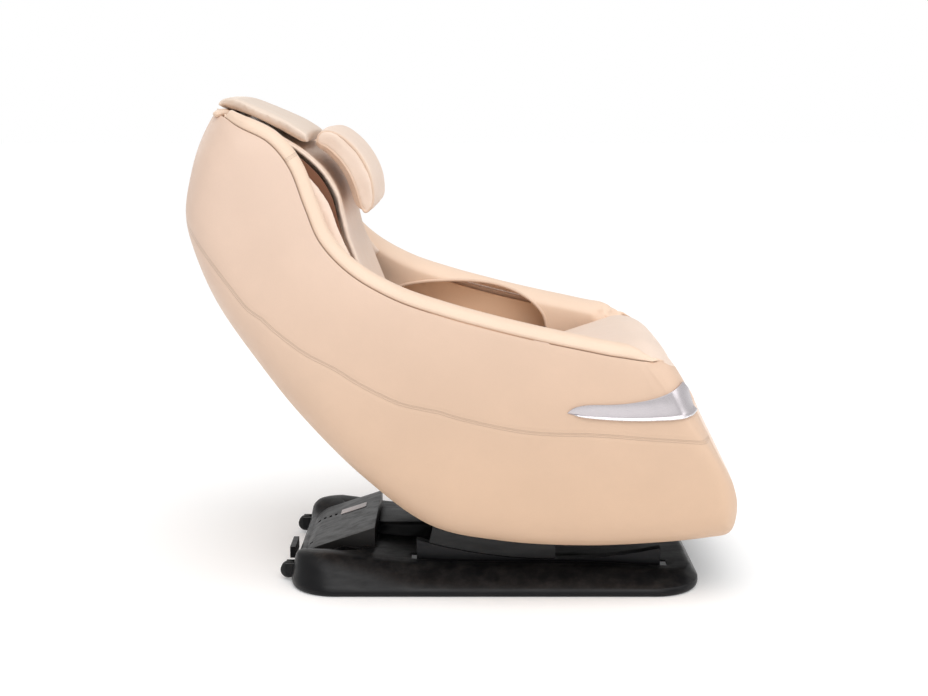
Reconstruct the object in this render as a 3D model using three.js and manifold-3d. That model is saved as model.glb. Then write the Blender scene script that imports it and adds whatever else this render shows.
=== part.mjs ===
// Massage chair: a leather tub on a low plastic base. The tub glides forward and leans back on
// two curved rails, the leg rest swings up, and a roller carriage climbs behind the back pad.
// Frame: millimetres, +X towards the sitter's feet, +Y to the sitter's left, +Z up, floor at Z = 0.
import * as THREE from "three";
import { mergeVertices } from "three/addons/utils/BufferGeometryUtils.js";
import Module from "manifold-3d";

const wasm = await Module();
wasm.setup();

// ---------------------------------------------------------------- driving dimensions
const GAP = 0.5; // between touching pieces
const CORNER_REAR = 130; // how far in from the outline the tub's side reaches full width
const CORNER_FRONT = 84;
const CORNER_POWER = 3.4; // squareness of the tub's corners
const TUMBLEHOME = 0.06; // share by which the sides lean in towards the rim
const PANEL_THICKNESS = 10;
const WALL_SHIFT = 76; // from the outside of an arm to the back of its inner wall
const WALL_SHIFT_HIGH = 60; // the same, beside the back cushion
const WALL_THICKNESS = 9;
const BACK_EDGE = 0.7; // seam between side panel and back cover, as a share of the half width
const FRONT_EDGE = 0.78; // seam between side panel and leg rest, likewise

// Stations of the tub, from the top of the back round the underside to the front of the seat:
// outline X and Z, rim seam X and Z, half width.
const STATIONS = [
  [-522, 1030, -494, 1010, 244],
  [-553, 972, -455, 987, 264],
  [-575, 905, -395, 957, 285],
  [-590, 812, -352, 905, 302],
  [-572, 728, -322, 830, 318],
  [-524, 618, -290, 758, 332],
  [-446, 502, -228, 695, 344],
  [-350, 378, -140, 645, 350],
  [-222, 246, -45, 612, 352],
  [-80, 140, 60, 583, 353],
  [76, 104, 160, 559, 353],
  [250, 93, 240, 542, 352],
  [410, 99, 292, 531, 350],
  [515, 111, 322, 526, 348],
  [570, 127, 338, 523, 346],
  [590, 172, 350, 521, 345],
  [584, 230, 360, 519, 343],
  [549, 306, 370, 518, 342],
  [507, 390, 382, 516, 340],
  [476, 458, 396, 517, 338],
  [449, 506, 414, 513, 337],
];
const LAST = STATIONS.length - 1;
const BACK_END = 7.7; // station where the back cover meets the underside cover
const UNDER_END = 14.3; // station where the underside cover ends behind the leg rest

const TILT_CENTRE = { x: 200, z: 1120 }; // centre of the curved rails, above the seat
const RAIL_RADIUS = 1068;
const RAIL_Y = 175;
const ACTUATOR_PIVOT = { x: -202, z: 62 };
const ACTUATOR_RADIUS = 1060; // of the bracket pin about the tilt centre
const ACTUATOR_START_DEG = -5;

const LEG_PIVOT = { x: 447, z: 408 };
const TRACK_POINT = { x: -366, z: 672 }; // middle of the carriage's track
const TRACK_LEAN_DEG = 17.7; // from the vertical, towards the back
const TRACK_Y = 150;

const BASE = { rear: -378, front: 512, halfWidth: 285, corner: 100 };

const deg = (a) => (a * Math.PI) / 180;
const lerp = (a, b, t) => a + (b - a) * t;

// ---------------------------------------------------------------- materials
const material = (color, roughness, metalness = 0) =>
  new THREE.MeshStandardMaterial({ color, roughness, metalness });
const LEATHER = material(0xecd0b8, 0.5);
const LINING = material(0x8a6146, 0.75);
const BLACK = material(0x1f1f21, 0.45);
const BOX_GREY = material(0x4a4645, 0.5);
const STEEL = material(0x55585c, 0.45, 0.9);
const SILVER = material(0xc9c6c8, 0.3, 0.85);
const RUBBER = material(0x141414, 0.9);
const NYLON = material(0xd9d6cc, 0.6);
const BOARD = material(0x2f6b45, 0.6);
const LABEL = material(0xcfc8c6, 0.6);

// ---------------------------------------------------------------- meshes and booleans
const root = new THREE.Group();

function bufferFrom(positions, triangles) {
  const geometry = new THREE.BufferGeometry();
  geometry.setAttribute("position", new THREE.Float32BufferAttribute(positions, 3));
  geometry.setIndex(triangles);
  return geometry;
}

// A closed manifold solid from a three.js geometry, turned the right way out.
function solid(geometry) {
  const bare = geometry.clone();
  for (const name of Object.keys(bare.attributes)) {
    if (name !== "position") bare.deleteAttribute(name);
  }
  const merged = mergeVertices(bare, 1e-4);
  const triVerts = new Uint32Array(merged.index.array);
  const vertProperties = new Float32Array(merged.attributes.position.array);
  let made = new wasm.Manifold(new wasm.Mesh({ numProp: 3, vertProperties, triVerts }));
  if (made.volume() < 0) {
    for (let i = 0; i < triVerts.length; i += 3) {
      [triVerts[i + 1], triVerts[i + 2]] = [triVerts[i + 2], triVerts[i + 1]];
    }
    made = new wasm.Manifold(new wasm.Mesh({ numProp: 3, vertProperties, triVerts }));
  }
  return made;
}

function geometryOf(made) {
  const mesh = made.getMesh();
  return bufferFrom(Array.from(mesh.vertProperties), Array.from(mesh.triVerts));
}

function add(name, shape, look) {
  const geometry = shape.isBufferGeometry ? geometryOf(solid(shape)) : geometryOf(shape);
  const mesh = new THREE.Mesh(geometry, look);
  mesh.name = name;
  root.add(mesh);
  return mesh;
}

const SIDES = [
  ["left", 1],
  ["right", -1],
];

// A plate between two grids of points, front[i][j] and back[i][j].
function slab(front, back) {
  const rows = front.length;
  const columns = front[0].length;
  const positions = [];
  for (const grid of [front, back]) {
    for (const row of grid) for (const p of row) positions.push(p.x, p.y, p.z);
  }
  const at = (layer, i, j) => layer * rows * columns + i * columns + j;
  const triangles = [];
  const quad = (a, b, c, d) => triangles.push(a, b, c, a, c, d);
  for (let i = 0; i < rows - 1; i++) {
    for (let j = 0; j < columns - 1; j++) {
      quad(at(0, i, j), at(0, i + 1, j), at(0, i + 1, j + 1), at(0, i, j + 1));
      quad(at(1, i, j), at(1, i, j + 1), at(1, i + 1, j + 1), at(1, i + 1, j));
    }
  }
  for (let i = 0; i < rows - 1; i++) {
    quad(at(0, i, 0), at(1, i, 0), at(1, i + 1, 0), at(0, i + 1, 0));
    const j = columns - 1;
    quad(at(0, i, j), at(0, i + 1, j), at(1, i + 1, j), at(1, i, j));
  }
  for (let j = 0; j < columns - 1; j++) {
    quad(at(0, 0, j), at(0, 0, j + 1), at(1, 0, j + 1), at(1, 0, j));
    const i = rows - 1;
    quad(at(0, i, j), at(1, i, j), at(1, i, j + 1), at(0, i, j + 1));
  }
  return bufferFrom(positions, triangles);
}

// A grid of points from a function of two shares, each from 0 to 1.
function grid(rows, columns, point) {
  return Array.from({ length: rows }, (_, i) =>
    Array.from({ length: columns }, (_, j) => point(i / (rows - 1), j / (columns - 1)))
  );
}

// The same grid moved along its own surface normal, towards the inside for a positive distance.
function offsetGrid(rows, columns, point, distance) {
  const step = 1e-3;
  return grid(rows, columns, (a, b) => {
    const p = point(a, b);
    const along = point(Math.min(a + step, 1), b).sub(point(Math.max(a - step, 0), b));
    const across = point(a, Math.min(b + step, 1)).sub(point(a, Math.max(b - step, 0)));
    const normal = along.cross(across).normalize();
    return p.addScaledVector(normal, distance);
  });
}

// A solid through closed loops of points, with a fan over each end.
function loft(loops) {
  const count = loops[0].length;
  const positions = [];
  for (const loop of loops) for (const p of loop) positions.push(p.x, p.y, p.z);
  const triangles = [];
  for (let k = 0; k < loops.length - 1; k++) {
    for (let i = 0; i < count; i++) {
      const j = (i + 1) % count;
      const a = k * count + i;
      const b = k * count + j;
      triangles.push(a, b, b + count, a, b + count, a + count);
    }
  }
  for (const [k, turned] of [
    [0, true],
    [loops.length - 1, false],
  ]) {
    const middle = new THREE.Vector3();
    for (const p of loops[k]) middle.addScaledVector(p, 1 / count);
    const hub = positions.length / 3;
    positions.push(middle.x, middle.y, middle.z);
    for (let i = 0; i < count; i++) {
      const a = k * count + i;
      const b = k * count + ((i + 1) % count);
      triangles.push(...(turned ? [b, a, hub] : [a, b, hub]));
    }
  }
  return bufferFrom(positions, triangles);
}

// A side profile in X and Z, extruded from y0 to y1.
function extrudeY(shape, y0, y1, curveSegments = 8) {
  const geometry = new THREE.ExtrudeGeometry(shape, {
    depth: y1 - y0,
    bevelEnabled: false,
    curveSegments,
  });
  geometry.rotateX(Math.PI / 2);
  geometry.translate(0, y1, 0);
  return geometry;
}

const shapeOf = (points) => new THREE.Shape(points.map(([x, z]) => new THREE.Vector2(x, z)));
const box = (x, y, z, cx, cy, cz) => new THREE.BoxGeometry(x, y, z).translate(cx, cy, cz);
// A cylinder along Y.
const rod = (radius, length, cx, cy, cz, segments = 20) =>
  new THREE.CylinderGeometry(radius, radius, length, segments).translate(cx, cy, cz);
const union = (...pieces) => pieces.map(solid).reduce((a, b) => a.add(b));

// ---------------------------------------------------------------- the tub's surface
const splineOf = (pick) =>
  new THREE.SplineCurve(STATIONS.map((s, i) => new THREE.Vector2(...pick(s, i))));
const OUTLINE = splineOf((s) => [s[0], s[1]]);
const RIM = splineOf((s) => [s[2], s[3]]);
const WIDTH = splineOf((s, i) => [i, s[4]]);

// How the half width grows with the distance in from the outline.
function roundness(share) {
  const t = Math.min(Math.max(share, 0), 1);
  return Math.pow(1 - Math.pow(1 - t, CORNER_POWER), 1 / CORNER_POWER);
}
const depthFor = (fraction, corner) =>
  corner * (1 - Math.pow(1 - Math.pow(fraction, CORNER_POWER), 1 / CORNER_POWER));

function station(u) {
  const t = Math.min(Math.max(u / LAST, 0), 1);
  const o = OUTLINE.getPoint(t);
  const r = RIM.getPoint(t);
  const tangent = OUTLINE.getTangent(t);
  const inward = new THREE.Vector2(-tangent.y, tangent.x);
  const reach = r.clone().sub(o);
  const depth = reach.length();
  const dir = reach.divideScalar(depth);
  const slant = Math.max(dir.dot(inward), 0.15);
  const corner = lerp(CORNER_REAR, CORNER_FRONT, THREE.MathUtils.smoothstep(u, 12, 16));
  return { o, r, inward, dir, depth, slant, corner, w: WIDTH.getPoint(t).y };
}

// A point of the side: v runs from 0 on the outline to 1 at the rim.
function sidePoint(u, v, side) {
  const s = station(u);
  const run = v * v;
  const d = s.depth * run * s.slant;
  const lean = Math.max(0, run - 0.6) / 0.4;
  const fade = THREE.MathUtils.smoothstep(u, -1, 3.5);
  const y = s.w * roundness(d / s.corner) * (1 - TUMBLEHOME * fade * lean * lean);
  return new THREE.Vector3(
    s.o.x + s.dir.x * s.depth * run,
    side * y,
    s.o.y + s.dir.y * s.depth * run
  );
}

// A point of the back, underside or front, at a share of the half width.
function crownPoint(u, fraction, inset = 0) {
  const s = station(u);
  const d = depthFor(Math.min(Math.abs(fraction), 0.999), s.corner) + inset;
  return new THREE.Vector3(
    s.o.x + s.inward.x * d,
    fraction * s.w,
    s.o.y + s.inward.y * d
  );
}

// Where the side panel starts at a station: v at the seam with the back cover or the leg rest.
function seamV(u) {
  const t = THREE.MathUtils.smoothstep(u, 13, 15);
  const s = station(u);
  const fraction = lerp(BACK_EDGE, FRONT_EDGE, t) + 3 / s.w;
  return Math.min(Math.sqrt(depthFor(fraction, s.corner) / (s.depth * s.slant)), 0.9);
}

// ---------------------------------------------------------------- casings of the tub
const PANEL_START = 0.2;
const PANEL_END = 19.5;
const PANEL_ROWS = 42;
for (const [name, side] of SIDES) {
  const skin = (a, b) => {
    const u = lerp(PANEL_START, PANEL_END, a);
    return sidePoint(u, lerp(seamV(u), 1, b), side);
  };
  const rows = PANEL_ROWS;
  const columns = 8;
  add(
    `side_panel_${name}`,
    slab(grid(rows, columns, skin), offsetGrid(rows, columns, skin, side * PANEL_THICKNESS)),
    LEATHER
  );
}

function crownPlate(from, to, edge, rows, columns, thickness) {
  const at = (inset) =>
    grid(rows, columns, (a, b) => crownPoint(lerp(from, to, a), lerp(-edge, edge, b), inset));
  return slab(at(0), at(thickness));
}
add("back_cover", crownPlate(0.15, BACK_END, BACK_EDGE, 18, 9, 8), LEATHER);
add("underside_cover", crownPlate(BACK_END + 0.03, UNDER_END, BACK_EDGE, 16, 9, 5), BLACK);

// The padded roll along the top of each side. Its foot stands on the panel's top edge.
const rimHeight = (u) =>
  lerp(36, 21, THREE.MathUtils.smoothstep(u, 3, 7)) *
  (1 - 0.6 * THREE.MathUtils.smoothstep(u, 14, PANEL_END));
const armShare = (u) =>
  THREE.MathUtils.smoothstep(u, 6.5, 8) * (1 - THREE.MathUtils.smoothstep(u, 11.8, 13));
const rimWidth = (u) =>
  lerp(58, 84, armShare(u)) *
  (1 - 0.35 * THREE.MathUtils.smoothstep(u, 14, PANEL_END)) *
  (0.6 + 0.4 * THREE.MathUtils.smoothstep(u, 0, 2));
for (const [name, side] of SIDES) {
  const loops = [];
  for (let i = 0; i < PANEL_ROWS; i++) {
    const u = lerp(PANEL_START, PANEL_END, i / (PANEL_ROWS - 1));
    const foot = sidePoint(u, 1, side);
    const t = RIM.getTangent(Math.min(u / LAST, 1));
    const up = new THREE.Vector3(-t.y, 0, t.x).normalize();
    const loop = [];
    const half = rimWidth(u) / 2;
    for (let k = 0; k <= 8; k++) {
      const a = (k / 8) * Math.PI;
      const across = half * (1 - Math.cos(a));
      const lift = GAP + 5.5 + rimHeight(u) * Math.pow(Math.sin(a), 0.7);
      loop.push(foot.clone().addScaledVector(up, lift).add(new THREE.Vector3(0, -side * across, 0)));
    }
    loops.push(loop);
  }
  add(`arm_roll_${name}`, loft(loops), LEATHER);
}

// Inner walls of the arms, with the opening of the arm well, and the lining behind it.
const WELL = { rear: -185, front: 206, topRear: 600, top: 622, topFront: 545, bottom: 440 };
function wellShape() {
  const shape = new THREE.Shape();
  shape.moveTo(WELL.rear, 575);
  shape.bezierCurveTo(WELL.rear + 10, WELL.topRear + 8, -100, WELL.top, -20, WELL.top);
  shape.bezierCurveTo(90, WELL.top, 175, 590, WELL.front - 12, 525);
  shape.bezierCurveTo(WELL.front, 495, WELL.front, 470, WELL.front - 14, 460);
  shape.bezierCurveTo(120, 435, 0, WELL.bottom, -60, 470);
  shape.bezierCurveTo(-120, 500, WELL.rear - 10, 520, WELL.rear, 575);
  return shape;
}
const innerSkin = (side, shift, from, to, low, high) => (a, b) => {
  const u = lerp(from, to, a);
  const p = sidePoint(u, Math.sqrt(lerp(low, high, b)), side);
  p.y -= side * shift(u);
  return p;
};
const wallShift = (extra) => (u) =>
  extra + lerp(WALL_SHIFT_HIGH, WALL_SHIFT, THREE.MathUtils.smoothstep(u, 5.2, 7.4));
for (const [name, side] of SIDES) {
  const place = [2.4, 12.5, 0.5, 0.965];
  const outer = innerSkin(side, wallShift(0), ...place);
  const inner = innerSkin(side, wallShift(WALL_THICKNESS), ...place);
  const wall = solid(slab(grid(30, 6, outer), grid(30, 6, inner)));
  const cutter = solid(extrudeY(wellShape(), side > 0 ? 0 : -400, side > 0 ? 400 : 0, 5));
  add(`inner_wall_${name}`, wall.subtract(cutter), LEATHER);
  const liner = [6.3, 12.4, 0.55, 0.955];
  const back = innerSkin(side, () => PANEL_THICKNESS + 6, ...liner);
  const front = innerSkin(side, () => PANEL_THICKNESS + 11, ...liner);
  add(`arm_well_lining_${name}`, slab(grid(14, 5, back), grid(14, 5, front)), LINING);
}

// Bright trim blade at the front corner of each side.
function trimShape() {
  const shape = new THREE.Shape();
  shape.moveTo(209, 417);
  shape.bezierCurveTo(214, 428, 228, 434, 250, 434);
  shape.bezierCurveTo(330, 430, 400, 446, 438, 492);
  shape.lineTo(500, 420);
  shape.bezierCurveTo(470, 404, 400, 401, 330, 403);
  shape.bezierCurveTo(290, 404, 240, 408, 209, 417);
  return shape;
}
for (const [name, side] of SIDES) {
  const layer = (a, b) => {
    const u = lerp(9.5, 19.5, a);
    return sidePoint(u, lerp(seamV(u) + 0.02, 0.93, b), side);
  };
  const shell = solid(
    slab(offsetGrid(40, 22, layer, -side * 3.4), offsetGrid(40, 22, layer, -side * 1.2))
  );
  const blade = solid(extrudeY(trimShape(), side > 0 ? 100 : -420, side > 0 ? 420 : -100, 10));
  add(`trim_blade_${name}`, shell.intersect(blade), SILVER);
}

// ---------------------------------------------------------------- soft parts
const profileCurve = (points) => new THREE.SplineCurve(points.map((p) => new THREE.Vector2(...p)));

// A pad between two side profiles, crowned across its width.
function pad(front, back, widthAt, rows, columns, crown = 0, edge = 0.3) {
  const a = profileCurve(front);
  const b = profileCurve(back);
  const blendAt = (j) => Math.pow(Math.abs(2 * j - 1), 3);
  const face = (curve, other, lift) =>
    grid(rows, columns, (i, j) => {
      const p = curve.getPoint(i);
      const q = other.getPoint(i);
      const t = blendAt(j) * edge;
      const away = p.clone().sub(q).normalize().multiplyScalar(lift * (1 - blendAt(j)));
      return new THREE.Vector3(
        lerp(p.x, q.x, t / 2) + away.x,
        lerp(-widthAt(i), widthAt(i), j),
        lerp(p.y, q.y, t / 2) + away.y
      );
    });
  return slab(face(a, b, crown), face(b, a, 0));
}

const SEAT_HALF_WIDTH = 243;
const SEAT_EARS = 50;
const SEAT_TOP = [
  [-150, 408],
  [-60, 414],
  [60, 440],
  [190, 478],
  [300, 513],
  [372, 530],
  [414, 525],
  [442, 504],
  [452, 482],
  [449, 464],
];
const SEAT_BOTTOM = [
  [-140, 330],
  [-60, 332],
  [60, 350],
  [190, 380],
  [300, 404],
  [350, 412],
  [380, 418],
  [410, 424],
  [430, 432],
  [438, 442],
];
// The cushion widens ahead of the arm walls, where it joins the tops of the side panels.
const seatWidth = (i) =>
  SEAT_HALF_WIDTH +
  SEAT_EARS * THREE.MathUtils.smoothstep(i, 0.54, 0.59) -
  0.8 * SEAT_EARS * THREE.MathUtils.smoothstep(i, 0.6, 0.69);
add("seat_cushion", pad(SEAT_TOP, SEAT_BOTTOM, seatWidth, 22, 9, 8), LEATHER);

const BACK_FACE = [
  [-500, 1019],
  [-462, 1010],
  [-417, 994],
  [-372, 970],
  [-330, 944],
  [-284, 900],
  [-256, 850],
  [-244, 800],
  [-233, 752],
  [-206, 680],
  [-174, 600],
  [-140, 520],
  [-112, 450],
];
const BACK_REAR = [
  [-497, 990],
  [-470, 982],
  [-432, 966],
  [-390, 942],
  [-352, 916],
  [-312, 878],
  [-288, 838],
  [-276, 794],
  [-264, 744],
  [-238, 668],
  [-206, 588],
  [-172, 508],
  [-146, 444],
];
const backWidth = (i) => lerp(152, 198, THREE.MathUtils.smoothstep(i, 0, 0.2));
add("back_cushion", pad(BACK_FACE, BACK_REAR, backWidth, 22, 7, 4), LEATHER);

const FLAP_TOP = [
  [-522, 1032],
  [-508, 1045],
  [-481, 1046],
  [-444, 1032],
  [-394, 1011],
  [-361, 995],
  [-326, 973],
];
const FLAP_UNDER = [
  [-516, 1026],
  [-500, 1026],
  [-470, 1019],
  [-428, 1004],
  [-380, 980],
  [-352, 964],
  [-326, 948],
];
const flapWidth = (i) => lerp(148, 184, THREE.MathUtils.smoothstep(i, 0.1, 0.9));
add("pillow_flap", pad(FLAP_TOP, FLAP_UNDER, flapWidth, 12, 5, 0), LEATHER);

const PILLOW_FACE = [
  [-315, 950],
  [-314, 972],
  [-302, 986],
  [-274, 983],
  [-240, 958],
  [-212, 924],
  [-192, 884],
  [-186, 848],
  [-188, 821],
  [-203, 801],
  [-215, 799],
];
const PILLOW_BACK = [
  [-318, 951],
  [-306, 944],
  [-294, 936],
  [-278, 922],
  [-262, 902],
  [-250, 880],
  [-242, 858],
  [-236, 838],
  [-230, 822],
  [-222, 812],
  [-216, 808],
];
add("head_pillow", pad(PILLOW_FACE, PILLOW_BACK, () => 165, 20, 9, 6, 0.35), LEATHER);

// Shoulder pads beside the back cushion; they stand a little above the rim.
for (const [name, side] of SIDES) {
  const face = (shift, bulge) =>
    grid(12, 7, (a, b) => {
      const u = lerp(3.3, 6.3, a);
      const s = station(u);
      const rise = 48 * Math.sin(Math.PI * lerp(0.08, 0.97, a));
      const run = lerp(0.72, 1 + rise / s.depth, b);
      const p = sidePoint(u, 1, side);
      const swell = Math.sin(Math.PI * a) * Math.sin(Math.PI * b);
      return new THREE.Vector3(
        s.o.x + s.dir.x * s.depth * run,
        p.y - side * (shift + bulge * swell),
        s.o.y + s.dir.y * s.depth * run
      );
    });
  add(`shoulder_pad_${name}`, slab(face(76, 0), face(84, 20)), LEATHER);
}

// ---------------------------------------------------------------- leg rest
// Its pad follows the front of the tub, with a channel for each calf; a hard shell backs it.
const LEG_HALF_WIDTH = FRONT_EDGE * 340 - 4;
const CALF_CENTRE = 128;
const CALF_HALF_WIDTH = 84;
const CALF_DEPTH = 46;
function calfDip(y) {
  const t = Math.min(Math.abs(Math.abs(y) - CALF_CENTRE) / CALF_HALF_WIDTH, 1);
  return CALF_DEPTH * Math.pow(Math.cos((t * Math.PI) / 2), 1.2);
}
const LEG_TOP_U = 18.42;
const LEG_BOTTOM_U = 14.75;
const legFade = (a) =>
  THREE.MathUtils.smoothstep(a, 0, 0.16) * (1 - THREE.MathUtils.smoothstep(a, 0.86, 1));
function legGrid(rows, columns, inset) {
  return grid(rows, columns, (a, b) => {
    const y = lerp(-LEG_HALF_WIDTH, LEG_HALF_WIDTH, b);
    const u = lerp(LEG_TOP_U, LEG_BOTTOM_U, a);
    return crownPoint(u, y / station(u).w, inset(a, y));
  });
}
const padDepth = (a) => lerp(16, 64, THREE.MathUtils.smoothstep(a, 0, 0.2)) * lerp(1, 0.8, a);
const LEG_ROWS = 16;
const LEG_COLUMNS = 25;
add(
  "leg_rest_pad",
  slab(
    legGrid(LEG_ROWS, LEG_COLUMNS, (a, y) => calfDip(y) * legFade(a)),
    legGrid(LEG_ROWS, LEG_COLUMNS, (a) => padDepth(a))
  ),
  LEATHER
);
add(
  "leg_rest_shell",
  slab(
    legGrid(LEG_ROWS, 9, (a) => padDepth(a) + 1.5),
    legGrid(LEG_ROWS, 9, (a) => padDepth(a) + 1.5 + lerp(8, 26, Math.sin(Math.PI * a)))
  ),
  BLACK
);
add(
  "leg_rest_shaft",
  rod(8, 2 * LEG_HALF_WIDTH + 20, LEG_PIVOT.x, 0, LEG_PIVOT.z, 16),
  STEEL
);
add("leg_rest_motor", union(rod(22, 90, 398, 0, 376, 20), box(56, 50, 48, 392, 62, 376)), STEEL);

// ---------------------------------------------------------------- frame of the tub
function barAlong(points, width, height) {
  const path = new THREE.CurvePath();
  for (let i = 0; i < points.length - 1; i++) {
    path.add(new THREE.LineCurve3(points[i], points[i + 1]));
  }
  const section = shapeOf([
    [-width / 2, -height / 2],
    [width / 2, -height / 2],
    [width / 2, height / 2],
    [-width / 2, height / 2],
  ]);
  const curve = new THREE.CatmullRomCurve3(points, false, "centripetal");
  return new THREE.ExtrudeGeometry(section, { steps: 14, bevelEnabled: false, extrudePath: curve });
}
for (const [name, side] of SIDES) {
  const y = side * 205;
  const points = [
    [390, 330],
    [200, 290],
    [0, 250],
    [-150, 290],
    [-290, 420],
    [-400, 600],
    [-455, 780],
    [-462, 900],
  ].map(([x, z]) => new THREE.Vector3(x, y, z));
  add(`frame_side_${name}`, barAlong(points, 20, 36), STEEL);
}
add("frame_cross_tube", rod(16, 382, 150, 0, 270), STEEL);

// ---------------------------------------------------------------- massage mechanism
const lean = deg(TRACK_LEAN_DEG);
const UP_TRACK = new THREE.Vector3(-Math.sin(lean), 0, Math.cos(lean));
const OUT_TRACK = new THREE.Vector3(Math.cos(lean), 0, Math.sin(lean));
// Places a geometry built with X out of the back and Z along the track.
function onTrack(geometry, along = 0, out = 0, y = 0) {
  const origin = new THREE.Vector3(TRACK_POINT.x, y, TRACK_POINT.z)
    .addScaledVector(UP_TRACK, along)
    .addScaledVector(OUT_TRACK, out);
  const frame = new THREE.Matrix4().makeBasis(OUT_TRACK, new THREE.Vector3(0, 1, 0), UP_TRACK);
  return geometry.clone().applyMatrix4(frame.setPosition(origin));
}
const TRACK_LENGTH = 470;
for (const [name, side] of SIDES) {
  const web = box(24, 4, TRACK_LENGTH, 0, 0, 0);
  const lips = [-10, 10].map((x) => box(4, 20, TRACK_LENGTH, x, -side * 10, 0));
  const channel = union(web, ...lips);
  add(`track_${name}`, onTrack(geometryOf(channel), 0, 0, side * TRACK_Y), STEEL);
}
const screw = new THREE.CylinderGeometry(7, 7, TRACK_LENGTH - 20, 12).rotateX(Math.PI / 2);
add("lift_screw", onTrack(screw, 0, -32), STEEL);

const carriagePlate = solid(box(16, 250, 96, 0, 0, 0));
const nut = solid(box(44, 40, 40, -28, 0, 0));
const screwHole = solid(
  new THREE.CylinderGeometry(9, 9, 120, 16).rotateX(Math.PI / 2).translate(-32, 0, 0)
);
const shoes = SIDES.map(([, side]) => solid(box(12, 34, 70, 0, side * 130, 0)));
const carriage = shoes.reduce((a, b) => a.add(b), carriagePlate.add(nut)).subtract(screwHole);
add("carriage_frame", onTrack(geometryOf(carriage)), STEEL);
add(
  "knead_motor",
  onTrack(geometryOf(union(rod(26, 96, 0, 0, 0), box(40, 30, 44, 0, 40, 0))), 0, 36),
  STEEL
);
const ARM_Y = 92;
const ROLLER_OUT = 88;
const ROLLER_RADIUS = 30;
for (const [name, side] of SIDES) {
  const bar = box(52, 12, 24, -30, 0, 0);
  const rocker = box(14, 12, 110, 0, 0, 0);
  const pins = [-46, 46].map((z) => rod(5, 54, 0, side * 24, z, 12));
  const arm = union(bar, rocker, ...pins);
  add(`roller_arm_${name}`, onTrack(geometryOf(arm), 0, ROLLER_OUT - 14, side * (ARM_Y - 26)), STEEL);
  for (const [level, z] of [
    ["upper", 46],
    ["lower", -46],
  ]) {
    const profile = [
      [5.6, -15],
      [20, -17],
      [ROLLER_RADIUS - 3, -11],
      [ROLLER_RADIUS, 0],
      [ROLLER_RADIUS - 3, 11],
      [20, 17],
      [5.6, 15],
      [5.6, -15],
    ].map(([r, h]) => new THREE.Vector2(r, h));
    add(
      `roller_${level}_${name}`,
      onTrack(new THREE.LatheGeometry(profile, 20), z, ROLLER_OUT - 14, side * ARM_Y),
      NYLON
    );
  }
}

// ---------------------------------------------------------------- rails and tilt drive
const arcPoint = (radius, angle) => [
  TILT_CENTRE.x + radius * Math.sin(deg(angle)),
  TILT_CENTRE.z - radius * Math.cos(deg(angle)),
];
const arcPoints = (radius, from, to, count) =>
  Array.from({ length: count + 1 }, (_, i) => arcPoint(radius, lerp(from, to, i / count)));
const RAIL_FOOT = 27;
const SHOE_TOP_RADIUS = 1026;
for (const [name, side] of SIDES) {
  const top = arcPoints(RAIL_RADIUS, -16.5, 12.4, 14);
  const rail = shapeOf([...top, [top[14][0], RAIL_FOOT], [top[0][0], RAIL_FOOT]]);
  const y = side * RAIL_Y;
  add(`rail_${name}`, extrudeY(rail, y - 12, y + 12), STEEL);
  const shoe = shapeOf([
    ...arcPoints(RAIL_RADIUS - GAP - 0.7, -15, 0, 7),
    ...arcPoints(SHOE_TOP_RADIUS, 0, -15, 7),
  ]);
  add(`glide_shoe_${name}`, extrudeY(shoe, y - 10, y + 10), NYLON);
}
const [PIN_X, PIN_Z] = arcPoint(ACTUATOR_RADIUS, ACTUATOR_START_DEG);
const lug = shapeOf([
  [PIN_X - 14, PIN_Z - 12],
  [PIN_X + 14, PIN_Z - 12],
  [PIN_X + 22, 96],
  [PIN_X - 22, 96],
]);
add("tilt_bracket", solid(extrudeY(lug, -6, 6)).add(solid(rod(5.5, 44, PIN_X, 0, PIN_Z, 16))), STEEL);

// The actuator lies along the line from its pivot to the bracket pin.
const actuatorRun = new THREE.Vector2(PIN_X - ACTUATOR_PIVOT.x, PIN_Z - ACTUATOR_PIVOT.z);
const ACTUATOR_LENGTH = actuatorRun.length();
const ACTUATOR_ANGLE = actuatorRun.angle();
function onActuator(geometry) {
  return geometry
    .clone()
    .rotateY(-ACTUATOR_ANGLE)
    .translate(ACTUATOR_PIVOT.x, 0, ACTUATOR_PIVOT.z);
}
const alongX = (radius, from, to, segments = 18) =>
  new THREE.CylinderGeometry(radius, radius, to - from, segments)
    .rotateZ(Math.PI / 2)
    .translate((from + to) / 2, 0, 0);
const bore = solid(alongX(9, 52, 320));
const tube = solid(alongX(16, 20, 252))
  .add(solid(box(50, 46, 40, 42, 0, 0)))
  .add(solid(rod(12, 30, 0, 0, 0)));
const link = solid(box(24, 14, 18, 12, 0, 0));
const eyeHole = solid(rod(6, 60, 0, 0, 0, 16));
const motorCan = solid(rod(19, 70, 42, 56, 0));
add(
  "tilt_actuator_body",
  onActuator(geometryOf(tube.add(link).add(motorCan).subtract(bore).subtract(eyeHole))),
  STEEL
);
const EYE_CLEARANCE = 5.5; // the pin sinks by 4 mm at mid travel
const fork = solid(rod(5.5 + EYE_CLEARANCE + 6, 38, ACTUATOR_LENGTH, 0, 0))
  .add(solid(box(46, 38, 20, ACTUATOR_LENGTH - 23, 0, 0)))
  .subtract(solid(box(72, 20, 60, ACTUATOR_LENGTH, 0, 0)))
  .subtract(solid(rod(5.5 + EYE_CLEARANCE, 50, ACTUATOR_LENGTH, 0, 0)));
const pushRod = solid(alongX(8, 56, ACTUATOR_LENGTH - 38));
add("tilt_actuator_rod", onActuator(geometryOf(pushRod.add(fork))), SILVER);

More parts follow.
